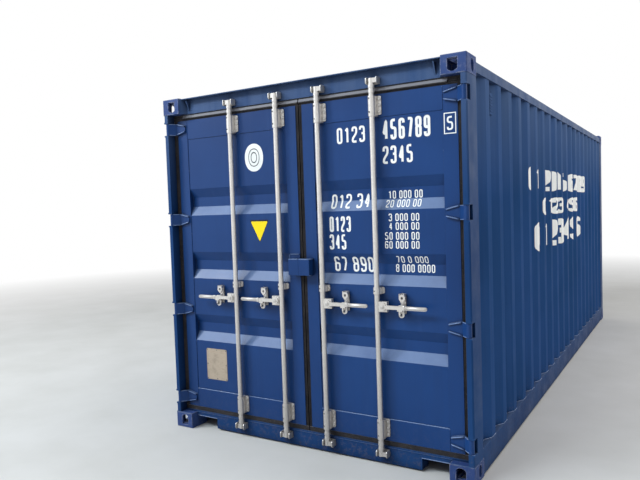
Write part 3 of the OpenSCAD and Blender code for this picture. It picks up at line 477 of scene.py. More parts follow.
def scatter(name, body, spots, proto, material, smooth=False):
    """Copies of proto by Geometry Nodes on the spots, each a place and the way it faces, as one plain mesh."""
    points = bpy.data.meshes.new(name + "_points")
    points.from_pydata([place for place, way in spots], [], [])
    turns = points.attributes.new("turn", "FLOAT_VECTOR", "POINT")
    for i, (place, way) in enumerate(spots):
        turns.data[i].vector = AIM[way]
    holder = new_object(name + "_points", points)
    source = new_object(name + "_source", proto)
    tree = bpy.data.node_groups.new(name, "GeometryNodeTree")
    for in_out in ("INPUT", "OUTPUT"):
        tree.interface.new_socket("Geometry", in_out=in_out, socket_type="NodeSocketGeometry")
    start = add(tree, "NodeGroupInput")
    shape = add(tree, "GeometryNodeObjectInfo", {"Object": source})
    named = add(tree, "GeometryNodeInputNamedAttribute", {"Name": "turn"}, data_type="FLOAT_VECTOR")
    turned = add(tree, "FunctionNodeEulerToRotation", {"Euler": named.outputs["Attribute"]})
    copies = add(tree, "GeometryNodeInstanceOnPoints", {
        "Points": start.outputs[0], "Instance": shape.outputs["Geometry"],
        "Rotation": turned.outputs["Rotation"]})
    real = add(tree, "GeometryNodeRealizeInstances", {"Geometry": copies.outputs["Instances"]})
    dressed = add(tree, "GeometryNodeSetMaterial",
                  {"Geometry": real.outputs["Geometry"], "Material": material})
    end = add(tree, "NodeGroupOutput")
    tree.links.new(dressed.outputs["Geometry"], end.inputs[0])
    modifier = holder.modifiers.new("copies", "NODES")
    modifier.node_group = tree
    graph = bpy.context.evaluated_depsgraph_get()
    mesh = bpy.data.meshes.new_from_object(holder.evaluated_get(graph))
    for o in (holder, source):
        bpy.data.objects.remove(o)
    bpy.data.node_groups.remove(tree)
    return piece(name, mesh, material, body, smooth)


BEAD_SIDES = 6


def bead(bm, path, r, step=0.006, ripple=0.16):
    """A weld bead along a polyline, half sunk in its plates, with a ripple every step."""
    for start, end in zip(path, path[1:]):
        start, end = Vector(start), Vector(end)
        way = (end - start).normalized()
        side = way.orthogonal().normalized()
        other = way.cross(side)
        n = max(2, int((end - start).length / step))
        rings = []
        for i in range(n + 1):
            centre = start.lerp(end, i / n)
            swell = r * (1.0 + ripple * (math.cos(i * math.pi) + rng.uniform(-0.5, 0.5)))
            rings.append([bm.verts.new(centre + swell * (side * math.cos(a) + other * math.sin(a)))
                          for a in turn(BEAD_SIDES)])
        add_tube(bm, rings)


def rim(bm, path, r, step=0.02):
    """A smooth round bar along a polyline."""
    bead(bm, path, r, step, ripple=0.0)


# Shape of the painted sheets, for marks and welds that lie on them

def recess(distance, bed, mouth):
    """Depth of a recess at that distance from its middle."""
    return FOLD_DEPTH * max(0.0, min(1.0, (mouth - distance) / (mouth - bed)))


def door_face(z):
    """How far the door sheet lies behind its outer flats at height z."""
    return recess(min(abs(z - c) for c in DOOR_FOLD_Z), DOOR_BED, DOOR_MOUTH)


def wall_face(y):
    """How far the side sheet lies behind its outer flats at place y."""
    return recess(min(abs(y - c) for c in WALL_FOLD_Y), WALL_BED, WALL_MOUTH)


def folds(centres, bed, mouth):
    """The places where the sheet is bent."""
    return [c + way * reach for c in centres for way in (-1, 1) for reach in (bed, mouth)]


def fold_line(centre, flat, bed, mouth):
    """(place, depth) pairs across one recess, from flat to flat."""
    near = [(-flat, 0.0), (-mouth, 0.0), (-bed, FOLD_DEPTH)]
    return [(centre + u, depth) for u, depth in near] + [(centre - u, depth) for u, depth in reversed(near)]


def cut_at(bm, axis, places):
    """Cuts all faces square to an axis, so that they can bend there."""
    normal = [0, 0, 0]
    normal[axis] = 1
    for place in places:
        bmesh.ops.bisect_plane(bm, geom=bm.verts[:] + bm.edges[:] + bm.faces[:],
                               plane_co=[place * n for n in normal], plane_no=normal, dist=1e-6)


# Marks: rows of plain digits and plain stickers

MARK_LIFT = 0.0006     # from the paint to a mark
LAYER = 0.000008       # from one point or stroke to the next, so that none lie in one plane
STROKE_LAYERS = 40     # layers kept for each stroke of a digit
DIGIT_GAP = 0.24       # share of a digit's cell between two digits
SPACE = 0.5            # width of a space in cells
# Side digits are this much wider than the door's, with upright strokes as much thicker
MARK_STRETCH = 2.6

# Strokes of the digits in a unit square: corners of a line, and whether it closes on itself
STROKES = {
    "0": [([(0, 0), (1, 0), (1, 1), (0, 1)], True)],
    "1": [([(0.15, 0.8), (0.62, 1), (0.62, 0)], False)],
    "2": [([(0, 0.74), (0, 1), (1, 1), (1, 0.6), (0, 0.22), (0, 0), (1, 0)], False)],
    "3": [([(0, 0.8), (0, 1), (1, 1), (1, 0.54), (0.35, 0.54)], False),
          ([(0.6, 0.54), (1, 0.54), (1, 0), (0, 0), (0, 0.2)], False)],
    "4": [([(0.72, 0), (0.72, 1), (0, 0.3), (1, 0.3)], False)],
    "5": [([(0.94, 1), (0, 1), (0, 0.57), (1, 0.57), (1, 0), (0, 0), (0, 0.2)], False)],
    "6": [([(1, 0.8), (1, 1), (0, 1), (0, 0), (1, 0), (1, 0.56), (0, 0.56)], False)],
    "7": [([(0, 1), (1, 1), (0.4, 0)], False)],
    "8": [([(0, 0.54), (1, 0.54), (1, 1), (0, 1)], True), ([(0, 0), (1, 0), (1, 0.54), (0, 0.54)], True)],
    "9": [([(0, 0.2), (0, 0), (1, 0), (1, 1), (0, 1), (0, 0.44), (1, 0.44)], False)]}


def rounded(line, closed, r, steps=4):
    """The line with each corner turned into an arc."""
    count = len(line)
    arcs = []
    for i, corner in enumerate(line):
        if not closed and i in (0, count - 1):
            arcs.append(corner)
            continue
        a, b = line[i - 1] - corner, line[(i + 1) % count] - corner
        reach = min(r, a.length * 0.5, b.length * 0.5)
        start, end = corner + a.normalized() * reach, corner + b.normalized() * reach
        for k in range(steps + 1):
            f = k / steps
            arcs.append(start * (1 - f) ** 2 + corner * 2 * f * (1 - f) + end * f ** 2)
    return arcs


def ribbon(bm, line, closed, width, lift):
    """Flat band of that width along a line in X and Y, each point LAYER higher than the last."""
    sharpest = 0.6  # keeps a mitre from growing into a spike
    count = len(line)
    pairs = []
    for i, p in enumerate(line):
        before = line[i - 1] if closed or i else p
        after = line[(i + 1) % count] if closed or i < count - 1 else p
        a, b = (p - before), (after - p)
        a = a.normalized() if a.length else b.normalized()
        b = b.normalized() if b.length else a
        way = (a + b).normalized()
        side = Vector((-way.y, way.x)) * (width / 2 / max(sharpest, way.dot(a)))
        pairs.append([bm.verts.new((q.x, q.y, lift + i * LAYER)) for q in (p + side, p - side)])
    for i in range(count if closed else count - 1):
        j = (i + 1) % count
        bm.faces.new((pairs[i][0], pairs[i][1], pairs[j][1], pairs[j][0]))


def digits(text, height, width, weight=0.135):
    """Flat mesh of plain condensed digits, from x = 0 to width and y = 0 to height."""
    bm = bmesh.new()
    t = height * weight
    cells = sum(SPACE if c == " " else 1.0 for c in text)
    cell = width / (cells - DIGIT_GAP)
    w = cell * (1 - DIGIT_GAP) - t
    x = 0.0
    for c in text:
        if c == " ":
            x += cell * SPACE
            continue
        for k, (line, closed) in enumerate(STROKES[c]):
            points = [Vector((x + t / 2 + u * w, t / 2 + v * (height - t))) for u, v in line]
            ribbon(bm, rounded(points, closed, min(w, height) * 0.5), closed, t, k * STROKE_LAYERS * LAYER)
        x += cell
    return to_mesh(bm)


def add_row(bm, row, transforms):
    """Adds a row of digits, moved into place by the transforms, last one first."""
    for matrix in reversed(transforms):
        row.transform(matrix)
    bm.from_mesh(row)
    bpy.data.meshes.remove(row)


def film(bm, way):
    """The flat mesh of bm with every face turned to that side."""
    way = Vector(way)
    bmesh.ops.triangulate(bm, faces=bm.faces[:])
    for f in bm.faces:
        f.normal_update()
        if f.normal.dot(way) < 0:
            f.normal_flip()
    return to_mesh(bm)


# Each row: digits, left and right end, foot and head
DOOR_ROWS = [
    ("0123", 0.298, 0.509, 2.131, 2.238), ("456789", 0.634, 0.959, 2.128, 2.259),
    ("5", 1.066, 1.105, 2.152, 2.236), ("2345", 0.632, 0.839, 1.977, 2.091),
    ("012 34", 0.226, 0.519, 1.699, 1.798), ("10 000 00", 0.648, 0.884, 1.753, 1.805),
    ("20 000 00", 0.638, 0.880, 1.697, 1.746), ("0123", 0.220, 0.384, 1.543, 1.649),
    ("3 000 00", 0.662, 0.872, 1.609, 1.658), ("4 000 00", 0.663, 0.871, 1.552, 1.601),
    ("345", 0.216, 0.345, 1.424, 1.528), ("50 000 00", 0.633, 0.870, 1.489, 1.539),
    ("60 000 00", 0.631, 0.869, 1.432, 1.482), ("67 890", 0.233, 0.533, 1.273, 1.376),
    ("70 0 000", 0.700, 0.918, 1.339, 1.384), ("8 000 0000", 0.688, 0.955, 1.278, 1.330)]
WALL_ROWS = [
    ("01 2345 6789", -1.478, 1.507, 1.796, 1.988), ("0123 456", -0.918, 0.938, 1.581, 1.737),
    ("0123456", -1.222, 1.114, 1.278, 1.528)]
# Frame round the door's single digit: left, foot, right and head outside, and inside
DIGIT_FRAME = ((1.047, 2.130, 1.124, 2.258), (1.053, 2.136, 1.118, 2.252))


def door_marks():
    """Rows of plain digits on the right door, laid over its recesses."""
    bm = bmesh.new()
    for text, x0, x1, z0, z1 in DOOR_ROWS:
        add_row(bm, digits(text, z1 - z0, x1 - x0),
                [Matrix.Translation((x0, 0, z0)) @ Matrix.Rotation(math.pi / 2, 4, "X")])
    bridge(bm, *([bm.verts.new((x, 0, z)) for x, z in ((x0, z0), (x1, z0), (x1, z1), (x0, z1))]
                 for x0, z0, x1, z1 in DIGIT_FRAME))
    cut_at(bm, 2, folds(DOOR_FOLD_Z, DOOR_BED, DOOR_MOUTH))
    for v in bm.verts:
        v.co.y += (DOOR_Y if v.co.x > PANEL_X[1] else PANEL_Y + door_face(v.co.z)) - MARK_LIFT
    return film(bm, (0, -1, 0))


def wall_marks(sign):
    """Three rows of large plain digits on a side wall, laid over its corrugation."""
    upright = Matrix(((0, 0, 1, 0), (sign, 0, 0, 0), (0, 1, 0, 0), (0, 0, 0, 1)))
    bm = bmesh.new()
    for text, y0, y1, z0, z1 in WALL_ROWS:
        add_row(bm, digits(text, z1 - z0, (y1 - y0) / MARK_STRETCH, 0.2),
                [Matrix.Translation((0, sign * y0, z0)), upright, Matrix.Scale(MARK_STRETCH, 4, (1, 0, 0))])
    cut_at(bm, 1, folds(WALL_FOLD_Y, WALL_BED, WALL_MOUTH))
    for v in bm.verts:
        v.co.x = sign * (WALL_X - wall_face(v.co.y) + MARK_LIFT + v.co.x)
    return film(bm, (sign, 0, 0))


piece("right_door_marks", door_marks(), WHITE, "right_door")
for side, sign in SIDES.items():
    piece(side + "_wall_marks", wall_marks(sign), WHITE, "container")


# Stickers on the left door: a white oval with plain rings, and a plain yellow triangle with a dark rim

OVAL_AT = (-0.402, 2.093)
TRIANGLE_AT = (-0.376, 1.553)
TRIANGLE_HALF = (0.078, 0.075)
CORNER_CUT = 0.008


def squared_oval(rx, rz, y):
    """Places on an oval with flattened sides."""
    def flatter(value):
        return math.copysign(abs(value) ** 0.92, value)
    return [(OVAL_AT[0] + rx * flatter(math.cos(a)), y, OVAL_AT[1] + rz * flatter(math.sin(a)))
            for a in turn(48, 0.5)]


def sticker_oval():
    bm = bmesh.new()
    bm.faces.new([bm.verts.new(p) for p in squared_oval(0.083, 0.101, PANEL_Y - MARK_LIFT)])
    return film(bm, (0, -1, 0))


def sticker_rings():
    bm = bmesh.new()
    for rx, rz, inner in ((0.050, 0.066, 0.9), (0.028, 0.040, 0.8)):
        bridge(bm, *([bm.verts.new(p) for p in squared_oval(k * rx, k * rz, PANEL_Y - 2 * MARK_LIFT)]
                     for k in (1.0, inner)))
    return film(bm, (0, -1, 0))


def sticker_triangle(size, shift, layer):
    """Triangle standing on its tip, its corners cut off, that many layers above the paint."""
    half_w, half_h = (size * half for half in TRIANGLE_HALF)
    corners = [Vector(c) for c in ((-half_w, half_h), (half_w, half_h), (0.0, -half_h))]
    bm = bmesh.new()
    points = []
    for i, corner in enumerate(corners):
        for other in (corners[i - 1], corners[(i + 1) % 3]):
            points.append(corner + (other - corner).normalized() * CORNER_CUT)
    x, y, z = TRIANGLE_AT[0], PANEL_Y - layer * MARK_LIFT, TRIANGLE_AT[1] + shift
    bm.faces.new([bm.verts.new((x + q.x, y, z + q.y)) for q in points])
    return film(bm, (0, -1, 0))


piece("left_door_oval", sticker_oval(), WHITE_FILM, "left_door")
piece("left_door_oval_rings", sticker_rings(), GREY_INK, "left_door")
piece("left_door_triangle_rim", sticker_triangle(1.10, 0.002, 1), BLACK_INK, "left_door")
piece("left_door_triangle", sticker_triangle(0.98, 0.0, 2), YELLOW, "left_door")


# Data plate: bare aluminium with pressed frames and eight rivets

PLATE_AT = (-0.837, 0.520)
PLATE_W, PLATE_H, PLATE_T = 0.203, 0.243, 0.0012
PLATE_CORNER = 0.010
RIM_RAISED, FRAME_RAISED = 0.0010, 0.0006
# Bars of the raised rim, in shares of the plate from its middle: left, right, foot, head
PLATE_RIM = ((-0.47, 0.47, 0.47, 0.49), (-0.47, 0.47, -0.49, -0.47), (-0.49, -0.47, -0.47, 0.47),
             (0.47, 0.49, -0.47, 0.47))
# Foot and head of the four frames
PLATE_FRAMES = ((0.345, 0.455), (0.03, 0.315), (-0.24, 0.0), (-0.45, -0.27))


def plate_outline(steps=4):
    """The plate's edge in X and Z, its corners round."""
    line = []
    for quarter, (sx, sz) in enumerate(((1, 1), (-1, 1), (-1, -1), (1, -1))):
        x = PLATE_AT[0] + sx * (PLATE_W / 2 - PLATE_CORNER)
        z = PLATE_AT[1] + sz * (PLATE_H / 2 - PLATE_CORNER)
        for i in range(steps + 1):
            a = math.pi / 2 * (quarter + i / steps)
            line.append((x + PLATE_CORNER * math.cos(a), z + PLATE_CORNER * math.sin(a)))
    return line


def data_plate():
    cx, cz = PLATE_AT
    face = PANEL_Y - PLATE_T
    bm = bmesh.new()

    def bar(left, right, foot, head, height):
        add_box(bm, (cx + left * PLATE_W, face - height, cz + foot * PLATE_H),
                (cx + right * PLATE_W, face, cz + head * PLATE_H))

    add_tube(bm, [[bm.verts.new((x, y, z)) for x, z in plate_outline()] for y in (face, PANEL_Y)])
    for shares in PLATE_RIM:
        bar(*shares, RIM_RAISED)
    for foot, head in PLATE_FRAMES:
        for shares in ((-0.40, 0.40, foot, foot + 0.006), (-0.40, 0.40, head - 0.006, head),
                       (-0.40, -0.393, foot, head), (0.393, 0.40, foot, head)):
            bar(*shares, FRAME_RAISED)
    return solid(bm)


piece("left_door_data_plate", data_plate(), ALUMINIUM, "left_door")
scatter("data_plate_rivets", "left_door",
        [((PLATE_AT[0] + a * 0.093, PANEL_Y - PLATE_T, PLATE_AT[1] + b * 0.113), "-y")
         for a in (-1, 0, 1) for b in (-1, 0, 1) if a or b], dome(r=0.0060, h=0.0022), RIVET_STEEL, smooth=True)


# Bolts and rivets of the lock gear, one mesh for each door and kind

# The solids' guide tabs and retainer feet reach this much further than the photograph's
TAB_CUT = 0.024
MID_TAB_CUT = 0.014
RETAINER_CUT = 0.018
TAB_T = 0.006              # thickness of tabs and feet
TAB_BOLT_U, TAB_BOLT_DZ = 0.0635 - TAB_CUT, (-0.040, 0.0, 0.040)
MID_BOLT_U = 0.045 - MID_TAB_CUT
RETAINER_BOLTS = ((-0.011, -0.034), (0.011, -0.034), (0.0, 0.014))  # X from the retainer, Z from the handle
RIVET_DZ = 0.043
RIVET_Z = (GUIDE_Z[0] + RIVET_DZ, GUIDE_Z[0] - RIVET_DZ, MID_GUIDE_Z,
           GUIDE_Z[1] + RIVET_DZ, GUIDE_Z[1] - RIVET_DZ)
HUB_U = 0.045              # from the rod to its handle's pin
BOLT = hex_bolt(across=0.017, head=0.009, washer=0.013)
SMALL_BOLT = hex_bolt(across=0.013, head=0.007, washer=0.010)


def rods_of(side):
    return [x for name, x in ROD_X.items() if name.startswith(side)]


for side, sign in SIDES.items():
    bolts = [((x + TAB_BOLT_U, DOOR_Y - TAB_T, z + dz), "-y")
             for x in rods_of(side) for z in GUIDE_Z for dz in TAB_BOLT_DZ]
    small_bolts = []
    for x in rods_of(side):
        small_bolts += [((x + MID_BOLT_U, PANEL_Y - TAB_T, MID_GUIDE_Z), "-y")]
        small_bolts += [((x + sign * RETAINER_U + dx, PANEL_Y - TAB_T, HANDLE_Z + dz), "-y")
                        for dx, dz in RETAINER_BOLTS]
    scatter(side + "_door_bolts", side + "_door", bolts, BOLT, ZINC_DARK)
    scatter(side + "_door_small_bolts", side + "_door", small_bolts, SMALL_BOLT, ZINC_DARK)
for side in SIDES:
    rivets = [((x - 0.008, ROD_Y - 0.0210, z), "-y") for x in rods_of(side) for z in RIVET_Z]
    scatter(side + "_guide_rivets", side + "_door", rivets, dome(r=0.0060, h=0.0030), RIVET_STEEL,
            smooth=True)
for name, x in ROD_X.items():
    hub = (x + math.copysign(HUB_U, x), ROD_Y - 0.0303, HANDLE_Z)
    scatter(name + "_hub_rivet", name + "_rod", [(hub, "-y")], dome(r=0.011, h=0.0015), ZINC_DARK,
            smooth=True)


# Weld beads of the frame: round the castings, down the posts, along header, sill and rails

WELD_SUNK = 0.0015         # how far a bead's middle lies in the plates
POST_WELD_Z = (0.178, 2.494)
HEADER_WELD_Z = (2.473, 2.585)


def frame_welds():
    bm = bmesh.new()
    x0, y0 = HALF_W - CAST_W, HALF_L - CAST_L
    for z in (CAST_H, HEIGHT - CAST_H):
        for sx in (-1, 1):
            for sy in (-1, 1):
                ex, ey = sx * (STEEL_X - WELD_SUNK), sy * (STEEL_Y - WELD_SUNK)
                bead(bm, [(sx * (x0 + 0.006), ey, z), (ex, ey, z), (ex, sy * y0, z)], r=0.0033)
    for sx in (-1, 1):
        for y in (-y0, y0):
            bead(bm, [(sx * WALL_X, y, z) for z in POST_WELD_Z], r=0.0028, step=0.012)
    for z in HEADER_WELD_Z:
        bead(bm, [(-x0 + 0.01, SILL_Y, z), (x0 - 0.01, SILL_Y, z)], r=0.0025, step=0.012)
    bead(bm, [(-x0, SILL_Y, CAST_H), (x0, SILL_Y, CAST_H)], r=0.003, step=0.012)
    return solid(bm)


def wall_welds(z, r):
    """Bead along both side walls where the sheet meets a rail, in and out with the corrugation."""
    bm = bmesh.new()
    for sx in (-1, 1):
        for c in WALL_FOLD_Y:
            line = fold_line(c, WALL_PITCH / 2, WALL_BED, WALL_MOUTH)
            bead(bm, [(sx * (WALL_X - depth + 0.0005), y, z) for y, depth in line], r, step=0.014)
    return solid(bm)


piece("frame_welds", frame_welds(), FRAME_PAINT, "container", smooth=True)
piece("upper_wall_welds", wall_welds(z=2.4975, r=0.0022), FRAME_PAINT, "container", smooth=True)
# The lower bead is in the lighter enamel, as a painted highlight along the rail
piece("lower_wall_welds", wall_welds(z=0.1752, r=0.0040), HIGHLIGHT_EDGE_PAINT, "container", smooth=True)


# Header and sill: lit edge of the brow, gussets under it, and the upper edges of the sill's notches in a
# painted highlight

BROW_FRONT_Y = -3.0
BROW_FOOT_Z = (2.56, 2.575)
BROW_RISE = 0.012          # how much higher than in the solids the foot of its front edge lies
GUSSET_T = 0.008
GUSSET_X = (-1.006, 0.998)
NOTCH_X = (0.850, 1.057)


def header():
    """The header with the front edge of its brow thin, as in the photograph."""
    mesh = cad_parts["door_header"].data.copy()
    for v in mesh.vertices:
        if v.co.y < BROW_FRONT_Y and BROW_FOOT_Z[0] < v.co.z < BROW_FOOT_Z[1]:
            v.co.z += BROW_RISE
    return mesh


def header_gussets():
    bm = bmesh.new()
    foot = SILL_Y + 0.001
    for x in GUSSET_X:
        add_prism(bm, [(foot, 2.5665), (foot - 0.040, 2.5665), (foot, 2.4860)], x, x + GUSSET_T)
    return solid(bm)


# Upper edges of the sill's notches, lit by a painted highlight
def sill_notch_rims():
    bm = bmesh.new()
    for sign in SIDES.values():
        bead(bm, [(sign * x, SILL_Y + 0.0002, 0.0915) for x in NOTCH_X], r=0.0034, step=0.010)
    return solid(bm)


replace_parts(piece("header", header(), FRAME_PAINT, "container"), "door_header")
piece("sill_notch_rims", sill_notch_rims(), HIGHLIGHT_EDGE_PAINT, "container", smooth=True)
piece("header_gussets", header_gussets(), FRAME_PAINT, "container")


# Padlock box: a cover plate for each half, and round edges of box and hasp in a painted highlight

BOX_FRONT = -3.0222        # front of the box's solids
BOX_X = 0.085
BOX_Z = (1.2470, 1.3600)
BOX_JOINT = {1: -0.0025, -1: -0.0030}  # where the covers of the two halves end, half a millimetre apart
HASP_EDGE = ((-0.028, 1.3895), (-0.114, 1.3895), (-0.114, 1.2170))  # corners in X and Z
HASP_Y = -2.9640


def lock_box_cover(sign):
    bm = bmesh.new()
    add_box(bm, (BOX_JOINT[sign], BOX_FRONT - 0.0034, BOX_Z[0]), (sign * BOX_X, BOX_FRONT, BOX_Z[1]),
            bevel=0.0015)
    return solid(bm)


def lock_box_rims(sign):
    bm = bmesh.new()
    front, top, foot = BOX_FRONT - 0.0013, BOX_Z[1] - 0.0010, BOX_Z[0] + 0.0010
    rim(bm, [(sign * 0.006, front, top), (sign * 0.083, front, top)], r=0.0035)
    if sign > 0:
        flank, corner = 0.084, BOX_FRONT - 0.0003
        rim(bm, [(flank, corner, top - 0.0005), (flank, -2.9620, top - 0.0005)], r=0.0030)
        rim(bm, [(flank, corner, foot), (flank, -2.9900, foot)], r=0.0030)
    else:
        rim(bm, [(x, HASP_Y, z) for x, z in HASP_EDGE], r=0.0030)
    return solid(bm)


def ledge_weld(sign):
    """Bead along the foot of a door sheet."""
    bm = bmesh.new()
    bead(bm, [(sign * x, PANEL_Y - 0.002, PANEL_Z[0]) for x in PANEL_X], r=0.0034, step=0.010)
    return solid(bm)


# Rims and ledge beads get the lighter enamel: a painted highlight on edges that catch the light
for side, sign in SIDES.items():
    piece(side + "_lock_box_cover", lock_box_cover(sign), DOOR_PAINT, side + "_door")
    piece(side + "_lock_box_rims", lock_box_rims(sign), HIGHLIGHT_EDGE_PAINT, side + "_door", smooth=True)
    piece(side + "_ledge_weld", ledge_weld(sign), HIGHLIGHT_EDGE_PAINT, side + "_door", smooth=True)


# Handles: a round grip on each, the slotted tongue in front of it and the riveted eye above it, its rivet dark
# as painted shade in the eye's hole

TONGUE_Y = (-3.0085, -3.0035)
EYE_Y = (-2.9930, -2.9860)
GRIP_Y = -3.0168
GRIP_U = (0.204, 0.343)    # ends of a grip, from its rod
COLLAR_U = 0.188           # where the collar before it starts
COLLAR_Y = (-3.0270, -3.0090)


def tongue(u):
    return plate_with_hole(tongue_line(half=0.0195, top=0.060), oval_line(0.006, 0.009), *TONGUE_Y,
                           centre=(u + 0.006, 1.0150))


def eye(u):
    return plate_with_hole(oval_line(0.0215, 0.0230), oval_line(0.0085, 0.0090), *EYE_Y,
                           centre=(u + 0.004, 1.1190))


# A rivet in the eye's hole, in dark steel so that it paints the hole's shade
def eye_shade_rivet(u):
    bm = bmesh.new()
    add_box(bm, (u - 0.003, EYE_Y[1] - 0.0030, 1.1115), (u + 0.011, EYE_Y[1] + 0.0010, 1.1265), bevel=0.0015)
    return solid(bm)


def handle_grip(x, sign):
    """Round hand grip with a collar, on the flat bar of a handle."""
    bm = bmesh.new()
    start, end = (x + sign * u for u in GRIP_U)
    rim(bm, [(start, GRIP_Y, HANDLE_Z), (end, GRIP_Y, HANDLE_Z)], r=0.0116, step=0.2)
    add_box(bm, (x + sign * COLLAR_U, COLLAR_Y[0], HANDLE_Z - 0.0150), (start, COLLAR_Y[1], HANDLE_Z + 0.0150),
            bevel=0.0025)
    return solid(bm)


for name, x in ROD_X.items():
    side = name.split("_")[0]
    sign = SIDES[side]
    u = x + sign * RETAINER_U
    piece(name + "_tongue", tongue(u), ZINC, side + "_door")
    piece(name + "_eye", eye(u), ZINC, name + "_catch")
    piece(name + "_eye_rivet", eye_shade_rivet(u), RIVET_STEEL, name + "_catch")
    piece(name + "_grip", handle_grip(x, sign), ZINC, name + "_handle", smooth=True)


# Doors: guides and retainers cut to the photograph's size, forged rims, weld beads and seal lips

FOOT_Z = 1.004             # what lies lower on a retainer is its foot
TAB_U = 0.040              # and what lies further out on a guide its tab

def retainers(side):
    """The handle retainers with their foot cut short, behind the slotted tongue."""
    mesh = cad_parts[side + "_handle_retainers"].data.copy()
    for v in mesh.vertices:
        if v.co.z < FOOT_Z:
            v.co.z += RETAINER_CUT
    return mesh


def guides(side):
    """The rod guides with the bolted tab as narrow as in the photograph."""
    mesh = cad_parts[side + "_rod_guides"].data.copy()
    for v in mesh.vertices:
        u = v.co.x - min(ROD_X.values(), key=lambda x: abs(v.co.x - x))
        if u > TAB_U:
            v.co.x -= TAB_CUT if abs(v.co.z - MID_GUIDE_Z) > 0.05 else MID_TAB_CUT
    return mesh


def hinge_rims(sign):
    """Rounded forged rims along the upper and lower edge of each blade, from its root to the pin."""
    root, bend, pin = sign * 1.0535, sign * 1.1355, sign * 1.1770
    front = DOOR_Y - 0.0165
    bm = bmesh.new()
    for z in HINGE_Z:
        for k in (-1, 1):
            rim(bm, [(root, front, z + k * 0.0205), (bend, front, z + k * 0.0405)], r=0.0042)
            edge = z + k * 0.0420
            rim(bm, [(bend, DOOR_Y - 0.0095, edge), (pin, DOOR_Y - 0.0530, edge)], r=0.0032)
    return solid(bm)


def door_welds(sign):
    """Beads round the door sheet and, at each hinge, round the root of the blade."""
    face = PANEL_Y - 0.001
    root, bend, back = sign * 1.053, sign * 1.134, sign * 1.052
    bm = bmesh.new()
    for z in PANEL_Z:
        bead(bm, [(sign * x, face, z) for x in PANEL_X], r=0.0028, step=0.010)
    for x in PANEL_X:
        for ends in ((LEAF_Z[0], PANEL_Z[0]), (PANEL_Z[1], LEAF_Z[1])):
            bead(bm, [(sign * x, DOOR_Y, z) for z in ends], r=0.0022, step=0.010)
        for c in DOOR_FOLD_Z:
            line = fold_line(c, 0.250, DOOR_BED, DOOR_MOUTH)
            bead(bm, [(sign * x, face + depth, z) for z, depth in line], r=0.0022, step=0.012)
    for z in HINGE_Z:
        for k in (-1, 1):
            bead(bm, [(root, DOOR_Y, z + k * 0.0255), (bend, DOOR_Y, z + k * 0.0450)], r=0.0025, step=0.008)
        bead(bm, [(back, DOOR_Y, z - 0.024), (back, DOOR_Y, z + 0.024)], r=0.0025, step=0.008)
    return solid(bm)


def seal_lips(sign):
    """A drip nose on the seal's top bar, two ribs and a fin along its top and sides, one rib along its foot."""
    face = DOOR_Y + 0.006
    sunk = face + 0.001
    inner, outer = sign * 0.0045, sign * SEAL_X
    nose = face - 0.016
    bm = bmesh.new()
    add_prism(bm, [(sunk, 2.4725), (nose, 2.4440), (nose, 2.4380), (sunk, 2.4340)],
              *sorted((inner, sign * 1.075)))
    add_box(bm, (inner, face - 0.003, 0.1580), (outer, sunk, 0.1620), bevel=0.001)
    # Place of each rib, as a share of the bar's width, and its width, which is also its height
    for share, w in ((0.22, 0.003), (0.48, 0.003), (0.86, 0.005)):
        z = 2.425 + 0.0477 * share
        add_box(bm, (inner, face - w, z - w / 2), (outer, sunk, z + w / 2), bevel=0.001)
        for lo, hi in ((0.026, 0.0045), (LEAF_X, SEAL_X)):
            x = sign * (lo + (hi - lo) * share)
            add_box(bm, (x - w / 2, face - w, 0.166), (x + w / 2, sunk, 2.424), bevel=0.001)
    return solid(bm)


for side, sign in SIDES.items():
    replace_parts(piece(side + "_retainers", retainers(side), ZINC, side + "_door"),
                side + "_handle_retainers")
    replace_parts(piece(side + "_guides", guides(side), ZINC, side + "_door"), side + "_rod_guides")
    # Hinge rims in the lighter enamel: a painted highlight along the blade's edges
    piece(side + "_hinge_rims", hinge_rims(sign), HIGHLIGHT_EDGE_PAINT, side + "_door", smooth=True)
    piece(side + "_door_welds", door_welds(sign), DOOR_PAINT, side + "_door", smooth=True)
    piece(side + "_seal_lips", seal_lips(sign), RUBBER, side + "_door")


# Louvres of the vent boxes, and the floor's screws

LOUVRE_X = (1.1915, 1.1955)
LOUVRE_Y = (-2.475, -2.421)
LOUVRE_Z = [2.307 + i * 0.0195 for i in range(6)]
LOUVRE_H = 0.009
SCREW_X = [-1.10 + i * 2.2 / 14 for i in range(15)]
SCREW_Y = [-2.701 + i * 5.402 / 17 + 0.022 for i in range(18)]  # a row in each cross member
SCREW_Z = 0.1731


def vent_louvres():
    bm = bmesh.new()
    for sign in SIDES.values():
        for z in LOUVRE_Z:
            add_box(bm, (sign * LOUVRE_X[0], LOUVRE_Y[0], z), (sign * LOUVRE_X[1], LOUVRE_Y[1], z + LOUVRE_H),
                    bevel=0.0015)
    return solid(bm)


piece("vent_louvres", vent_louvres(), WALL_PAINT, "container")
scatter("floor_screws", "container", [((x, y, SCREW_Z), "+z") for y in SCREW_Y for x in SCREW_X],
        dome(r=0.006, h=0.0008), ZINC_DARK, smooth=True)


# Studio: pale floor that fades into white, sky light, lamps and the photograph's camera

def floor_material():
    m, t, shader = new_material("pale_studio_floor", roughness=0.9, specular=0.1)
    p = coords(t)
    colour = blend_colour(t, span(t, noise(t, p, 1.5, 5), 0.3, 0.7), srgb("#cfcdc8"), srgb("#d8d6d2"))
    t.links.new(colour, shader.inputs["Base Color"])
    glow = add(t, "ShaderNodeEmission", {"Color": (1, 1, 1, 1), "Strength": 1.0})
    away = add(t, "ShaderNodeVectorMath", {0: p}, operation="LENGTH").outputs["Value"]
    fade = add(t, "ShaderNodeMixShader",
               {0: span(t, away, 6.0, 14.0), 1: shader.outputs[0], 2: glow.outputs[0]})
    t.links.new(fade.outputs[0], t.nodes["Material Output"].inputs["Surface"])
    return m


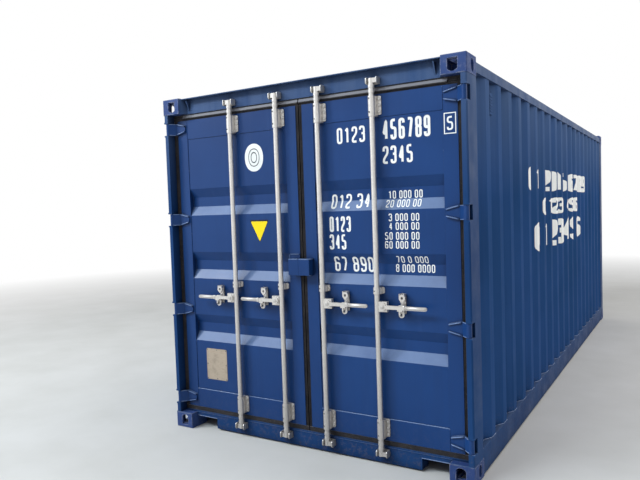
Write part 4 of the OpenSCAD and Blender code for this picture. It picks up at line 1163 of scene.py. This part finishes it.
def sky_light():
    """White where the camera or a mirror sees it; as light, brighter from above and from the left, as under
    an open sky beside trees."""
    world = bpy.data.worlds.new("studio")
    bpy.context.scene.world = world
    world.use_nodes = True
    t = world.node_tree
    t.nodes.clear()
    rays = add(t, "ShaderNodeLightPath").outputs
    seen = maths(t, "MAXIMUM", maths(t, "MAXIMUM", rays["Is Camera Ray"], rays["Is Glossy Ray"]),
                 rays["Is Transmission Ray"])
    way = add(t, "ShaderNodeTexCoord").outputs["Generated"]
    level = maths(t, "MULTIPLY", span(t, part_of(t, way, "Z"), -0.2, 0.9, 0.2, 0.6),
                  span(t, part_of(t, way, "X"), -1.0, 1.0, 1.05, 0.8))
    light = add(t, "ShaderNodeBackground", {"Color": (0.93, 0.96, 1.0, 1), "Strength": level})
    white = add(t, "ShaderNodeBackground", {"Color": (1, 1, 1, 1), "Strength": 1.0})
    both = add(t, "ShaderNodeMixShader", {0: seen, 1: light.outputs[0], 2: white.outputs[0]})
    add(t, "ShaderNodeOutputWorld", {"Surface": both.outputs[0]})


def softbox(name, place, target, size, power, tint=(1.0, 1.0, 1.0)):
    """A rectangular lamp, its size in metres and its power in watts, aimed at the target."""
    lamp = bpy.data.lights.new(name, "AREA")
    lamp.color = tint
    lamp.shape = "RECTANGLE"
    lamp.size, lamp.size_y = size
    lamp.energy = power
    o = new_object(name, lamp)
    o.location = place
    o.rotation_euler = (Vector(target) - Vector(place)).to_track_quat("-Z", "Y").to_euler()


floor_bm = bmesh.new()
bmesh.ops.create_circle(floor_bm, cap_ends=True, radius=60.0, segments=64)
floor_mesh = solid(floor_bm)
floor_mesh.materials.append(floor_material())
studio_floor = new_object("studio_floor", floor_mesh)
sky_light()
softbox("key_softbox", (-9.6, -9.4, 7.9), (0.0, -3.0, 1.3), (1.5, 1.5), 700, (0.95, 0.98, 1.0))
softbox("sky_strip", (-3.6, -9.6, 8.8), (0.3, -3.0, 1.3), (6.0, 2.6), 620, (0.78, 0.90, 1.0))
softbox("left_softbox", (-7.5, -9.5, 3.2), (-0.5, -3.0, 1.4), (4.0, 4.0), 50, (0.8, 0.92, 1.0))
softbox("right_softbox", (9.0, 1.5, 5.0), (1.2, 0.5, 1.3), (6.0, 4.0), 220)
softbox("top_softbox", (3.0, 1.0, 9.0), (0.5, 0, 1.0), (7.0, 7.0), 260)

# Place, turn and lens were fitted to the photograph's corners on a standard container's size
camera_data = bpy.data.cameras.new("photo_camera")
camera_data.sensor_width = 36.0
camera_data.lens = 34.59
camera = new_object("photo_camera", camera_data)
camera.location = (2.3403, -6.5687, 1.7038)
camera.rotation_euler = [math.radians(a) for a in (87.0957, 1.9104, 31.2543)]
bpy.context.scene.camera = camera
bpy.context.scene.view_settings.view_transform = "Standard"
